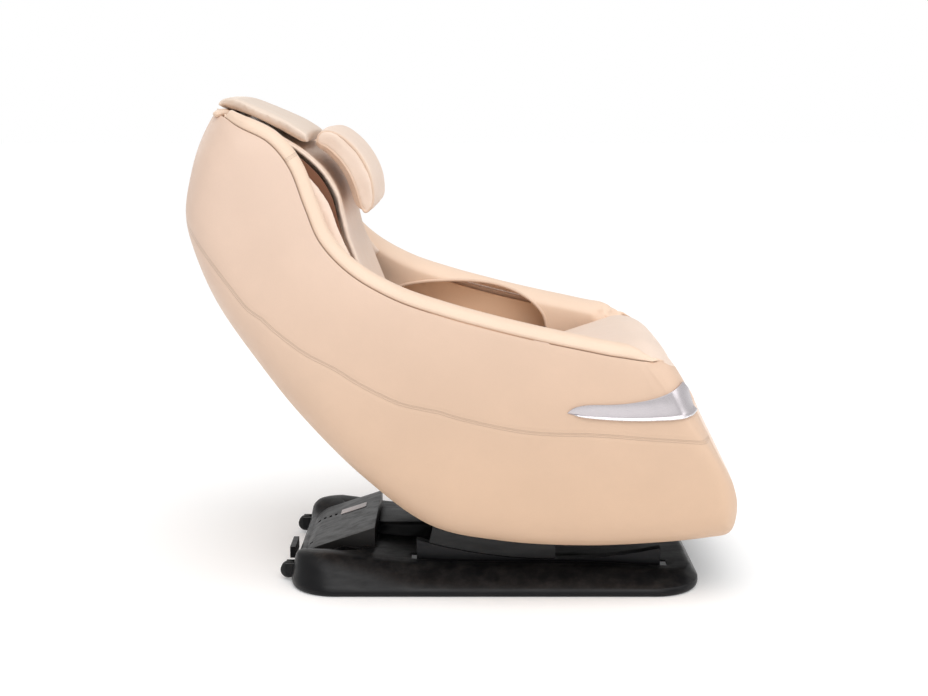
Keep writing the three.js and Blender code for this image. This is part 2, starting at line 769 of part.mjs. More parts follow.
// ---------------------------------------------------------------- base
function planLoop(endInset, sideInset, height, segments = 6, spans = 6) {
  const { rear, front, halfWidth, corner } = BASE;
  const r = Math.max(corner - (endInset + sideInset) / 2, 20);
  const y = halfWidth - sideInset - r;
  const loop = [];
  const corners = [
    [front - endInset - r, y, 0],
    [rear + endInset + r, y, 90],
    [rear + endInset + r, -y, 180],
    [front - endInset - r, -y, 270],
  ];
  const put = (px, py) => loop.push(new THREE.Vector3(px, py, height(px, py)));
  corners.forEach(([cx, cy, start], n) => {
    for (let k = 0; k <= segments; k++) {
      const a = deg(start + (90 * k) / segments);
      put(cx + r * Math.cos(a), cy + r * Math.sin(a));
    }
    // The straight sides follow the rise and the dip of the rim.
    const [nx, ny] = corners[(n + 1) % 4];
    const out = [[0, r], [-r, 0], [0, -r], [r, 0]][n];
    for (let k = 1; k < spans; k++) {
      put(lerp(cx, nx, k / spans) + out[0], lerp(cy, ny, k / spans) + out[1]);
    }
  });
  return loop;
}
// The top falls at the front and rises towards the rear, with a dip at the control box.
function rimTop(x, y) {
  const fall = 9.5 * THREE.MathUtils.smoothstep(x, 250, 460);
  const rise = 30 * Math.pow(THREE.MathUtils.clamp((60 - x) / 350, 0, 1), 2.2);
  const dip = x > -250 ? 1 : THREE.MathUtils.smoothstep(Math.abs(y), 120, 205);
  return lerp(54, 49.5 - fall + rise, dip);
}
const flat = (z) => () => z;
const under = (drop) => (x, y) => rimTop(x, y) - drop;
const BOX_FLOOR = 32;
const DECK_THICKNESS = 4;
const coverOuter = loft([
  planLoop(8, 5, flat(0)),
  planLoop(1, 0, flat(7)),
  planLoop(0, 4, flat(18)),
  planLoop(10, 46, under(8)),
  planLoop(16, 62, under(0)),
  planLoop(40, 90, under(0)),
  planLoop(110, 150, under(0)),
  planLoop(200, 225, under(0)),
  planLoop(255, 250, under(0)),
]);
const coverInner = loft([
  planLoop(12, 9, flat(-10)),
  planLoop(12, 9, flat(1)),
  planLoop(5, 5, flat(8)),
  planLoop(5, 12, flat(18)),
  planLoop(13, 52, under(14)),
  planLoop(23, 70, under(DECK_THICKNESS + 1)),
  planLoop(40, 90, under(DECK_THICKNESS)),
  planLoop(110, 150, under(DECK_THICKNESS)),
  planLoop(200, 225, under(DECK_THICKNESS)),
  planLoop(255, 250, under(DECK_THICKNESS)),
]);
// A hump over the tilt actuator, open at both ends.
const humpOuter = solid(box(250, 138, 59, -69, 31, 59.5));
const humpInner = solid(box(290, 130, 75, -80, 31, 47.5));
// Slots for the rails and the bracket, a hole under the control box, pockets for the castors.
const CASTOR = { x: -386, y: 170, z: 24, radius: 18 };
const cutouts = union(
  ...SIDES.map(([, side]) => box(560, 34, 60, 165, side * RAIL_Y, 45)),
  box(315, 64, 60, 187.5, 0, 45),
  box(124, 290, 90, -262, 0, 55),
  ...SIDES.map(([, side]) => box(56, 42, 60, -378, side * CASTOR.y, 16))
);
const coverOuterSolid = solid(coverOuter);
const coverShell = coverOuterSolid.add(humpOuter).subtract(solid(coverInner));
add("base_cover", coverShell.subtract(humpInner).subtract(cutouts), BLACK);

const ladder = [
  ...SIDES.map(([, side]) => box(740, 30, 18, 70, side * RAIL_Y, 17)),
  box(30, 342, 15, -290, 0, 17.5),
  box(30, 342, 15, 420, 0, 17.5),
];
add("base_frame", union(...ladder), STEEL);
const saddle = union(
  box(24, 8, 46, ACTUATOR_PIVOT.x, 22, ACTUATOR_PIVOT.z - 10),
  box(24, 8, 46, ACTUATOR_PIVOT.x, -22, ACTUATOR_PIVOT.z - 10),
  rod(5.6, 52, ACTUATOR_PIVOT.x, 0, ACTUATOR_PIVOT.z, 16),
  box(116, 52, 6, ACTUATOR_PIVOT.x - 46, 0, 29)
);
add("tilt_actuator_mount", saddle, STEEL);

// Rear control box: a wedge that stands on the deck and slopes down to its rounded rear end.
const BOX = { halfWidth: 150, front: -197, rear: -366, slope: 0.333, crown: 6 };
const boxTop = (x, y) => {
  const ridge = 118 + (x - BOX.front) * BOX.slope;
  const shoulder = 22 * Math.pow(Math.max(0, (-322 - x) / 44), 2);
  return ridge - shoulder - BOX.crown * Math.pow(Math.abs(y) / BOX.halfWidth, 4);
};
const boxGrid = (inset, height) =>
  grid(13, 9, (a, b) => {
    const x = lerp(BOX.rear + inset, BOX.front - inset, a);
    const y = lerp(-BOX.halfWidth + inset, BOX.halfWidth - inset, b);
    return new THREE.Vector3(x, y, height(x, y));
  });
const boxFloor = BOX_FLOOR + GAP;
const boxShell = solid(
  slab(boxGrid(0, (x, y) => Math.max(boxTop(x, y), boxFloor + 1)), boxGrid(0, flat(boxFloor)))
);
const boxNotch = solid(box(30, 62, 54, -200, 0, 55)); // for the tilt actuator
const boxHollow = solid(
  slab(boxGrid(5, (x, y) => Math.max(boxTop(x, y) - 5, boxFloor - 4)), boxGrid(5, flat(10)))
);
const deckCut = coverOuterSolid.add(coverOuterSolid.translate([0, 0, 0.8]));
const boxPieces = boxShell.subtract(boxHollow).subtract(boxNotch).subtract(deckCut).decompose();
boxPieces.sort((a, b) => b.volume() - a.volume());
add("control_box_cover", boxPieces[0], BOX_GREY);
const plate = new THREE.BoxGeometry(62, 34, 1)
  .rotateY(-Math.atan(BOX.slope))
  .translate(-258, 42, boxTop(-258, 42) + 1.2);
add("rating_plate", plate, LABEL);
const SWITCH_Y = -50;
const INLET_Z = 42;
const inletBlock = solid(box(12, 76, 26, BASE.rear - 6.5, -72, INLET_Z))
  .subtract(solid(box(20, 28, 20, BASE.rear - 14.5, -90, INLET_Z)))
  .subtract(solid(box(20, 25, 18, BASE.rear - 13.5, SWITCH_Y, INLET_Z)));
add("power_inlet", inletBlock, BLACK);
add("power_switch", box(9, 22, 15, BASE.rear - 10, SWITCH_Y, INLET_Z), RUBBER);
add("power_supply", box(90, 80, 28, -258, 94, 41), BLACK);
add("control_board", box(110, 80, 6, -262, -92, 30), BOARD);

// Feet, and a transport castor at each rear corner that meets the floor only when tipped back.
for (const [name, side] of SIDES) {
  for (const [end, x] of [
    ["front", 400],
    ["rear", -270],
  ]) {
    const foot = new THREE.CylinderGeometry(20, 23, 7, 20).rotateX(Math.PI / 2);
    add(`foot_${end}_${name}`, foot.translate(x, side * RAIL_Y, 3.5), RUBBER);
  }
  const { x, z, radius } = CASTOR;
  const y = side * CASTOR.y;
  const fork = union(
    box(36, 4, 26, x + 12, y + 13, z + 4),
    box(36, 4, 26, x + 12, y - 13, z + 4),
    box(6, 30, 26, x + 28, y, z + 4),
    rod(4, 30, x, y, z, 12)
  );
  add(`castor_fork_${name}`, fork, BLACK);
  const tyre = [
    [4.4, -9],
    [radius - 3, -9],
    [radius, -6],
    [radius, 6],
    [radius - 3, 9],
    [4.4, 9],
    [4.4, -9],
  ].map(([r, h]) => new THREE.Vector2(r, h));
  add(`castor_wheel_${name}`, new THREE.LatheGeometry(tyre, 24).translate(x, y, z), RUBBER);
}

export default root;
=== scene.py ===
import math

import bmesh
import bpy
import numpy as np
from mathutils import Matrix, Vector
from mathutils.bvhtree import BVHTree


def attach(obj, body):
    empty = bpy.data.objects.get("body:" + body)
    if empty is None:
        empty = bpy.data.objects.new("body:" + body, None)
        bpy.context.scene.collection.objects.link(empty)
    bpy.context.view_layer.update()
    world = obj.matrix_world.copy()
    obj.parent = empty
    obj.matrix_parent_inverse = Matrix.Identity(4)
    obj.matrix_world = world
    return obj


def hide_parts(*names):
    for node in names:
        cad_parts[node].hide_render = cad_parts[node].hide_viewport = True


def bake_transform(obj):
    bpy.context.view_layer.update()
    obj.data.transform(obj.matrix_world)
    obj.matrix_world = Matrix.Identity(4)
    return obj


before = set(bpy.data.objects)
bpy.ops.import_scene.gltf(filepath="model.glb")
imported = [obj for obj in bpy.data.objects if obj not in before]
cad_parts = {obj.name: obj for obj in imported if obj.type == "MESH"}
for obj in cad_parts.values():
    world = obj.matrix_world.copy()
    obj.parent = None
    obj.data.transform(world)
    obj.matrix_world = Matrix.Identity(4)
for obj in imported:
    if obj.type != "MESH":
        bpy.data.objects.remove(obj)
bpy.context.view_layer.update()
SIDES = (("left", 1), ("right", -1))

# ------------------------------------------------------------------ numbers of the tub, in metres
CORNER_REAR, CORNER_FRONT, CORNER_POWER, TUMBLEHOME = 0.130, 0.084, 3.4, 0.06
BACK_EDGE, FRONT_EDGE, BACK_END, UNDER_END = 0.7, 0.78, 7.7, 14.3
PANEL_START, PANEL_END = 0.2, 19.5
# outline X and Z, rim seam X and Z, half width, in millimetres
STATIONS = [
    (-522, 1030, -494, 1010, 244), (-553, 972, -455, 987, 264), (-575, 905, -395, 957, 285),
    (-590, 812, -352, 905, 302), (-572, 728, -322, 830, 318), (-524, 618, -290, 758, 332),
    (-446, 502, -228, 695, 344), (-350, 378, -140, 645, 350), (-222, 246, -45, 612, 352),
    (-80, 140, 60, 583, 353), (76, 104, 160, 559, 353), (250, 93, 240, 542, 352),
    (410, 99, 292, 531, 350), (515, 111, 322, 526, 348), (570, 127, 338, 523, 346),
    (590, 172, 350, 521, 345), (584, 230, 360, 519, 343), (549, 306, 370, 518, 342),
    (507, 390, 382, 516, 340), (476, 458, 396, 517, 338), (449, 506, 414, 513, 337),
]
LAST = len(STATIONS) - 1


def lerp(a, b, t):
    return a + (b - a) * t


def smooth(x, a, b):
    t = min(max((x - a) / (b - a), 0), 1)
    return t * t * (3 - 2 * t)


def spline(points):
    """A smooth curve through the points, its parameter from 0 to 1."""
    pts = np.array(points, float)
    n = len(pts)

    def at(t):
        p = (n - 1) * min(max(t, 0), 1)
        i = min(int(p), n - 1)
        w = p - i
        p0, p1 = pts[max(i - 1, 0) if i else 0], pts[i]
        p2 = pts[min(i + 1, n - 1)]
        p3 = pts[i + 2] if i <= n - 3 else pts[n - 1]
        v0, v1 = (p2 - p0) / 2, (p3 - p1) / 2
        return (2 * p1 - 2 * p2 + v0 + v1) * w**3 + (-3 * p1 + 3 * p2 - 2 * v0 - v1) * w**2 + v0 * w + p1

    return at


OUTLINE = spline([(s[0] / 1000, s[1] / 1000) for s in STATIONS])
RIM = spline([(s[2] / 1000, s[3] / 1000) for s in STATIONS])
WIDTH = spline([(s[4] / 1000, 0) for s in STATIONS])


def tangent(curve, t):
    d = curve(min(t + 1e-4, 1)) - curve(max(t - 1e-4, 0))
    return d / np.linalg.norm(d)


def roundness(share):
    t = min(max(share, 0), 1)
    return (1 - (1 - t) ** CORNER_POWER) ** (1 / CORNER_POWER)


def depth_for(fraction, corner):
    return corner * (1 - (1 - fraction**CORNER_POWER) ** (1 / CORNER_POWER))


class Station:
    """A section of the tub at u, from 0 at the top of the back round the underside to 20 at the seat."""

    def __init__(self, u):
        t = min(max(u / LAST, 0), 1)
        self.o, r = OUTLINE(t), RIM(t)
        tan = tangent(OUTLINE, t)
        self.inward = np.array((-tan[1], tan[0]))
        reach = r - self.o
        self.depth = float(np.linalg.norm(reach))
        self.dir = reach / self.depth
        self.slant = max(float(self.dir @ self.inward), 0.15)
        self.corner = lerp(CORNER_REAR, CORNER_FRONT, smooth(u, 12, 16))
        self.w = float(WIDTH(t)[0])


_stations = {}


def station(u):
    key = round(u, 5)
    if key not in _stations:
        _stations[key] = Station(u)
    return _stations[key]


def side_point(u, v, side):
    s = station(u)
    run = v * v
    d = s.depth * run * s.slant
    lean = max(0, run - 0.6) / 0.4
    fade = smooth(u, -1, 3.5)
    y = s.w * roundness(d / s.corner) * (1 - TUMBLEHOME * fade * lean * lean)
    p = s.o + s.dir * s.depth * run
    return np.array((p[0], side * y, p[1]))


def crown_point(u, fraction, inset=0.0):
    s = station(u)
    p = s.o + s.inward * (depth_for(min(abs(fraction), 0.999), s.corner) + inset)
    return np.array((p[0], fraction * s.w, p[1]))


def seam_v(u):
    s = station(u)
    fraction = lerp(BACK_EDGE, FRONT_EDGE, smooth(u, 13, 15)) + 0.003 / s.w
    return min(math.sqrt(depth_for(fraction, s.corner) / (s.depth * s.slant)), 0.9)


# ------------------------------------------------------------------ mesh tools
def new_object(name, verts, faces, material=None):
    mesh = bpy.data.meshes.new(name)
    mesh.from_pydata([tuple(map(float, v)) for v in verts], [], faces)
    bm = bmesh.new()
    bm.from_mesh(mesh)
    bmesh.ops.remove_doubles(bm, verts=bm.verts, dist=1e-6)
    bmesh.ops.recalc_face_normals(bm, faces=bm.faces)
    bm.to_mesh(mesh)
    bm.free()
    mesh.polygons.foreach_set("use_smooth", [True] * len(mesh.polygons))
    obj = bpy.data.objects.new(name, mesh)
    bpy.context.scene.collection.objects.link(obj)
    if material:
        mesh.materials.append(material)
    return obj


def grid(rows, cols, point):
    return np.array([[point(i / (rows - 1), j / (cols - 1)) for j in range(cols)] for i in range(rows)])


def normals_of(points):
    along = np.gradient(points, axis=0)
    across = np.gradient(points, axis=1)
    n = np.cross(along, across)
    length = np.linalg.norm(n, axis=2, keepdims=True)
    return n / np.where(length < 1e-12, 1, length)


def slab(name, front, back, material=None):
    """A closed plate between two grids of points."""
    rows, cols = front.shape[:2]
    verts = np.concatenate((front.reshape(-1, 3), back.reshape(-1, 3)))
    size = rows * cols
    at = lambda k, i, j: k * size + i * cols + j
    faces = []
    for i in range(rows - 1):
        for j in range(cols - 1):
            faces.append((at(0, i, j), at(0, i + 1, j), at(0, i + 1, j + 1), at(0, i, j + 1)))
            faces.append((at(1, i, j), at(1, i, j + 1), at(1, i + 1, j + 1), at(1, i + 1, j)))
    for i in range(rows - 1):
        faces.append((at(0, i, 0), at(1, i, 0), at(1, i + 1, 0), at(0, i + 1, 0)))
        j = cols - 1
        faces.append((at(0, i, j), at(0, i + 1, j), at(1, i + 1, j), at(1, i, j)))
    for j in range(cols - 1):
        faces.append((at(0, 0, j), at(0, 0, j + 1), at(1, 0, j + 1), at(1, 0, j)))
        i = rows - 1
        faces.append((at(0, i, j), at(1, i, j), at(1, i, j + 1), at(0, i, j + 1)))
    return new_object(name, verts, faces, material)


def loft(name, loops, material=None, closed=False):
    """A solid through closed loops of points, with a fan over each end."""
    count = len(loops[0])
    verts = [p for loop in loops for p in loop]
    faces = []
    for k in range(len(loops) if closed else len(loops) - 1):
        m = (k + 1) % len(loops)
        for i in range(count):
            j = (i + 1) % count
            faces.append((k * count + i, k * count + j, m * count + j, m * count + i))
    if not closed:
        for k in (0, len(loops) - 1):
            verts.append(np.mean(np.array(loops[k]), axis=0))
            hub = len(verts) - 1
            for i in range(count):
                faces.append((k * count + i, k * count + (i + 1) % count, hub))
    return new_object(name, verts, faces, material)


def tube(name, points, radius, material, closed=False, sides=10, flat=1.0):
    """A round piping along the points."""
    pts = np.array(points, float)
    n = len(pts)
    loops = []
    up = None
    for i in range(n):
        a = pts[(i - 1) % n] if closed or i else pts[i]
        b = pts[(i + 1) % n] if closed or i < n - 1 else pts[i]
        tan = (b - a) / max(np.linalg.norm(b - a), 1e-9)
        if up is None:
            seed = np.array((0, 1, 0)) if abs(tan[1]) < 0.8 else np.array((1, 0, 0))
            up = seed - tan * (seed @ tan)
        up = up - tan * (up @ tan)
        up /= np.linalg.norm(up)
        side = np.cross(tan, up)
        r = radius if closed or 0 < i < n - 1 else radius * 0.55
        angles = [2 * math.pi * k / sides for k in range(sides)]
        loops.append([pts[i] + r * (math.cos(a) * up + flat * math.sin(a) * side) for a in angles])
    return loft(name, loops, material, closed)


def finish_mesh(obj, bevel=0.0, segments=3, angle=40, subdivide=0):
    """Adds a rounded edge, a subdivision, or both, as modifiers."""
    if bevel:
        m = obj.modifiers.new("edge", "BEVEL")
        m.width = bevel
        m.segments = segments
        m.limit_method = "ANGLE"
        m.angle_limit = math.radians(angle)
    if subdivide:
        m = obj.modifiers.new("soft", "SUBSURF")
        m.levels = m.render_levels = subdivide
    return obj


def apply_modifiers(obj):
    deps = bpy.context.evaluated_depsgraph_get()
    mesh = bpy.data.meshes.new_from_object(obj.evaluated_get(deps))
    obj.modifiers.clear()
    old = obj.data
    obj.data = mesh
    if old.users == 0:
        bpy.data.meshes.remove(old)
    mesh.polygons.foreach_set("use_smooth", [True] * len(mesh.polygons))
    return obj


def one_look(obj, look):
    """Leaves only this material, after a cut has brought in the cutter's empty one."""
    obj.data.materials.clear()
    obj.data.materials.append(look)


def boolean(obj, cutter, operation="DIFFERENCE"):
    m = obj.modifiers.new("cut", "BOOLEAN")
    m.object = cutter
    m.operation = operation
    m.solver = "EXACT"
    bpy.context.view_layer.update()
    apply_modifiers(obj)
    bpy.data.objects.remove(cutter)
    return obj


def prism(name, outline, y0, y1):
    """An X-Z outline between two values of Y."""
    n = len(outline)
    verts = [(x, y0, z) for x, z in outline] + [(x, y1, z) for x, z in outline]
    faces = [tuple(range(n)), tuple(range(2 * n - 1, n - 1, -1))]
    faces += [(i, (i + 1) % n, n + (i + 1) % n, n + i) for i in range(n)]
    return new_object(name, verts, faces)


def block(name, low, high, material=None):
    (a, b, c), (d, e, f) = low, high
    verts = [(x, y, z) for x in (a, d) for y in (b, e) for z in (c, f)]
    faces = [(0, 1, 3, 2), (4, 6, 7, 5), (0, 4, 5, 1), (2, 3, 7, 6), (0, 2, 6, 4), (1, 5, 7, 3)]
    return new_object(name, verts, faces, material)


def bezier(a, b, c, d, count):
    a, b, c, d = (np.array(p, float) for p in (a, b, c, d))
    out = []
    for k in range(count):
        t = k / count
        out.append((1 - t) ** 3 * a + 3 * t * (1 - t) ** 2 * b + 3 * t * t * (1 - t) * c + t**3 * d)
    return out


def tree_of(obj):
    deps = bpy.context.evaluated_depsgraph_get()
    bm = bmesh.new()
    bm.from_object(obj, deps)
    tree = BVHTree.FromBMesh(bm)
    bm.free()
    return tree


def set_uv(obj, fn):
    """UV in metres from a function of the vertex position."""
    mesh = obj.data
    layer = mesh.uv_layers.get("seam") or mesh.uv_layers.new(name="seam")
    values = [fn(np.array(v.co)) for v in mesh.vertices]
    for loop in mesh.loops:
        layer.data[loop.index].uv = values[loop.vertex_index]


def place(obj, body, slot, *nodes):
    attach(obj, body)
    if nodes:
        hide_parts(*nodes)
    return obj


# ------------------------------------------------------------------ materials
def srgb(r, g, b):
    f = lambda c: c / 12.92 if c <= 0.04045 else ((c + 0.055) / 1.055) ** 2.4
    return (f(r / 255), f(g / 255), f(b / 255), 1)


class Nodes:
    def __init__(self, name):
        self.material = bpy.data.materials.new(name)
        self.material.use_nodes = True
        self.tree = self.material.node_tree
        self.bsdf = self.tree.nodes["Principled BSDF"]
        self.coords = self.add("ShaderNodeTexCoord").outputs["Object"]

    def add(self, kind, **settings):
        node = self.tree.nodes.new(kind)
        for key, value in settings.items():
            setattr(node, key, value)
        return node

    def put(self, socket, value):
        if isinstance(value, bpy.types.NodeSocket):
            self.tree.links.new(value, socket)
        else:
            socket.default_value = value

    def noise(self, scale, detail=3.0, rough=0.55, stretch=None):
        where = self.coords
        if stretch:
            m = self.add("ShaderNodeMapping")
            self.put(m.inputs["Vector"], where)
            m.inputs["Scale"].default_value = stretch
            where = m.outputs["Vector"]
        n = self.add("ShaderNodeTexNoise")
        self.put(n.inputs["Vector"], where)
        n.inputs["Scale"].default_value = scale
        n.inputs["Detail"].default_value = detail
        n.inputs["Roughness"].default_value = rough
        return n.outputs["Fac"]

    def cells(self, scale, wobble):
        """Distance to the edges of irregular cells, which are the pebbles of the grain."""
        n = self.add("ShaderNodeTexNoise")
        self.put(n.inputs["Vector"], self.coords)
        n.inputs["Scale"].default_value = scale * 0.6
        mix = self.add("ShaderNodeVectorMath", operation="MULTIPLY_ADD")
        self.put(mix.inputs[0], n.outputs["Color"])
        mix.inputs[1].default_value = (wobble, wobble, wobble)
        self.put(mix.inputs[2], self.coords)
        v = self.add("ShaderNodeTexVoronoi", feature="DISTANCE_TO_EDGE")
        self.put(v.inputs["Vector"], mix.outputs[0])
        v.inputs["Scale"].default_value = scale
        return v.outputs["Distance"]

    def math(self, operation, a, b=0.0):
        m = self.add("ShaderNodeMath", operation=operation)
        self.put(m.inputs[0], a)
        self.put(m.inputs[1], b)
        return m.outputs[0]

    def times(self, a, b):
        return self.math("MULTIPLY", a, b)

    def less(self, a, b):
        return self.math("SUBTRACT", a, b)

    def ramp(self, value, low, high, to_low=0.0, to_high=1.0):
        """A smooth step from one value to another."""
        m = self.add("ShaderNodeMapRange")
        m.interpolation_type = "SMOOTHSTEP"
        for socket, v in zip(m.inputs, (value, low, high, to_low, to_high)):
            self.put(socket, v)
        return m.outputs[0]

    def axis(self, vector, index):
        m = self.add("ShaderNodeSeparateXYZ")
        self.put(m.inputs[0], vector)
        return m.outputs[index]

    def mix(self, fac, a, b, blend="MIX"):
        """A mix of two colours; sockets 0, 6, 7 and result 2 are the colour ones."""
        m = self.add("ShaderNodeMix", data_type="RGBA", blend_type=blend)
        self.put(m.inputs[0], fac)
        self.put(m.inputs[6], a)
        self.put(m.inputs[7], b)
        return m.outputs[2]

    def bump(self, height, distance, strength, under=None):
        b = self.add("ShaderNodeBump")
        b.inputs["Strength"].default_value = strength
        b.inputs["Distance"].default_value = distance
        self.put(b.inputs["Height"], height)
        if under is not None:
            self.put(b.inputs["Normal"], under)
        return b.outputs["Normal"]


def shade(color, k):
    return tuple(min(1, c * k) for c in color[:3]) + (1,)


DRIFT = 0.026


def sewn(m, color, base, normal, seam):
    """A groove with a row of stitches on each side, from a UV map of metres along and off the seam; the
    groove and the stitch holes get painted shade.
    """
    uv = m.add("ShaderNodeUVMap", uv_map="seam").outputs[0]
    along, off = m.axis(uv, 0), m.math("ABSOLUTE", m.axis(uv, 1))
    width = seam["gap"]
    groove = m.ramp(off, 0.0, 0.0016)
    swell = m.ramp(off, width, width * 4.5)
    row = m.ramp(m.math("ABSOLUTE", m.less(off, width)), 0.0004, 0.0010, 1.0, 0.0)
    phase = m.math("FRACT", m.times(along, 1 / seam["pitch"]))
    dash = m.ramp(m.math("ABSOLUTE", m.less(phase, 0.5)), 0.26, 0.36, 1.0, 0.0)
    thread = m.times(row, dash)
    hole = m.times(row, m.less(1, dash))
    # Painted shade: the groove and the stitch holes are darkened for the shade that falls in them; the thread
    # is its own darker colour.
    line = m.times(m.less(1, groove), seam["groove_shade"])
    base = m.mix(line, base, shade(color, 0.45))
    base = m.mix(m.times(hole, 0.45), base, shade(color, 0.5))
    base = m.mix(m.times(thread, 0.8), base, shade(color, 0.84))
    normal = m.bump(m.times(groove, m.ramp(swell, 0, 1, 0.55, 1.0)), 0.0016, 0.8, normal)
    normal = m.bump(m.less(thread, m.times(hole, 0.7)), 0.0006, 0.8, normal)
    return base, normal


def leather(name, color, rough=0.48, grain=640, seam=None, gather=0.0, painted_top_light=False):
    """Leatherette: pebbled grain, faint mottling, a sewn seam where the piece has one, and where asked
    painted light, lighter and paler at the top and darker and warmer at the bottom.
    """
    m = Nodes(name)
    crease = m.ramp(m.cells(grain, 0.0009), 0.0, 0.22)
    mottle = m.noise(5.5, 4, 0.6)
    fine = m.noise(46, 5, 0.62)
    base = m.mix(m.ramp(mottle, 0.34, 0.68), shade(color, 1 - DRIFT), shade(color, 1 + DRIFT * 0.55))
    base = m.mix(m.ramp(fine, 0.35, 0.72, 0.0, 0.22), base, shade(color, 1 - 1.6 * DRIFT))
    base = m.mix(m.times(m.less(1, crease), 0.10), base, shade(color, 0.72))
    # Painted light: the colour is multiplied lighter and paler towards the top, for the sheen of the light
    # from above, and darker and warmer towards the bottom, for the shade below.
    if painted_top_light:
        rise = m.ramp(m.axis(m.coords, 2), 0.12, 0.92)
        painted_light_tint = m.mix(rise, (0.955, 0.925, 0.875, 1), (1.05, 1.10, 1.20, 1))
        base = m.mix(1.0, base, painted_light_tint, "MULTIPLY")
    roughness = m.ramp(m.noise(19, 3), 0.3, 0.7, rough - 0.05, rough + 0.07)
    normal = m.bump(m.noise(9, 2), 0.004, 0.10)
    if gather:
        folds = m.noise(34, 3, 0.55, stretch=(0.6, 1.6, 0.6))
        normal = m.bump(folds, 0.004, gather, normal)
    if seam:
        base, normal = sewn(m, color, base, normal, seam)
    normal = m.bump(crease, 0.00022, 0.42, normal)
    m.put(m.bsdf.inputs["Base Color"], base)
    m.put(m.bsdf.inputs["Roughness"], roughness)
    m.put(m.bsdf.inputs["Normal"], normal)
    m.bsdf.inputs["Coat Weight"].default_value = 0.06
    m.bsdf.inputs["Coat Roughness"].default_value = 0.34
    m.bsdf.inputs["Specular IOR Level"].default_value = 0.42
    return m.material


def plastic(name, color, rough=0.4, texture=900, depth=0.00009, dust_and_top_light=0.0, shine=0.5):
    """Moulded plastic with a fine spark texture, handling marks, and a lighter grey in patches on up-facing
    surfaces, partly dust and partly painted light.
    """
    m = Nodes(name)
    spark = m.noise(texture, 2, 0.5)
    cloud = m.noise(7, 4, 0.6)
    rub = m.noise(60, 4, 0.7, stretch=(0.25, 1.0, 1.4))
    base = m.mix(m.ramp(cloud, 0.3, 0.7), shade(color, 0.86), shade(color, 1.12))
    # Up-facing surfaces are painted a lighter grey in patches: partly dust lying on them, partly painted
    # light for the light that falls on the tops.
    if dust_and_top_light:
        up = m.axis(m.add("ShaderNodeNewGeometry").outputs["Normal"], 2)
        patches = m.ramp(m.noise(30, 5, 0.7), 0.35, 0.75)
        top_light_and_dust_mask = m.times(m.ramp(up, 0.5, 1.0), patches)
        base = m.mix(m.times(top_light_and_dust_mask, dust_and_top_light), base, srgb(122, 117, 112))
    m.put(m.bsdf.inputs["Base Color"], base)
    m.put(m.bsdf.inputs["Roughness"], m.ramp(rub, 0.35, 0.7, rough - 0.06, rough + 0.10))
    normal = m.bump(spark, depth, 0.6)
    m.put(m.bsdf.inputs["Normal"], m.bump(m.noise(14, 2), 0.001, 0.03, normal))
    m.bsdf.inputs["Specular IOR Level"].default_value = shine
    return m.material


def metal(name, color, rough=0.3, metallic=1.0, brushed=(1, 14, 1), wear=0.25, grain=160):
    """Metal with drawn lines, or plain paint on it where it is less metallic."""
    m = Nodes(name)
    lines = m.noise(grain, 3, 0.5, stretch=brushed)
    cloud = m.noise(18, 4, 0.6)
    base = m.mix(m.ramp(cloud, 0.35, 0.75, 0, wear), color, shade(color, 0.55))
    m.put(m.bsdf.inputs["Base Color"], base)
    m.put(m.bsdf.inputs["Roughness"], m.ramp(lines, 0.3, 0.7, rough - 0.06, rough + 0.12))
    m.put(m.bsdf.inputs["Normal"], m.bump(lines, 0.00003, 0.4))
    m.bsdf.inputs["Metallic"].default_value = metallic
    return m.material


def circuit(name):
    """A green circuit board with its tracks."""
    m = Nodes(name)
    brick = m.add("ShaderNodeTexBrick")
    m.put(brick.inputs["Vector"], m.coords)
    brick.inputs["Scale"].default_value = 95
    brick.inputs["Color1"].default_value = srgb(38, 98, 62)
    brick.inputs["Color2"].default_value = srgb(30, 82, 52)
    brick.inputs["Mortar"].default_value = srgb(120, 116, 70)
    m.put(m.bsdf.inputs["Base Color"], m.mix(m.noise(70), brick.outputs["Color"], srgb(28, 74, 48)))
    m.put(m.bsdf.inputs["Roughness"], m.ramp(m.noise(120), 0.3, 0.7, 0.4, 0.6))
    m.put(m.bsdf.inputs["Normal"], m.bump(brick.outputs["Fac"], 0.0003, 0.5))
    return m.material


SHELL = srgb(219, 188, 163)
ARM = srgb(237, 210, 187)
PAD = srgb(238, 216, 199)
# Each seam: the width of its groove, the pitch of its stitches, and the strength of the painted shade in its
# groove.
SHELL_SEAM = {"gap": 0.0030, "pitch": 0.0050, "groove_shade": 0.22}
PAD_SEAM = {"gap": 0.0035, "pitch": 0.0045, "groove_shade": 0.5}
shell_leather = leather("shell_leather", ARM)
# The side panels and back cover get the painted light, lighter at the top and darker at the bottom.
shell_seamed = leather("shell_leather_seamed", SHELL, seam=SHELL_SEAM, painted_top_light=True)
arm_leather = leather("arm_leather", ARM, seam=SHELL_SEAM)
pad_leather = leather("pad_leather", PAD, gather=0.10)
pad_seamed = leather("pad_leather_seamed", PAD, gather=0.10, seam=PAD_SEAM)
flap_leather = leather("flap_leather", srgb(230, 212, 196), gather=0.16)
pillow_leather = leather("pillow_leather", PAD, gather=0.34)
welt_leather = leather("welt_leather", srgb(226, 198, 176), grain=900)
lining_leather = leather("lining_leather", srgb(244, 208, 176), rough=0.6, grain=760)
recess_leather = leather("recess_leather", srgb(116, 73, 48), rough=0.62, grain=760)
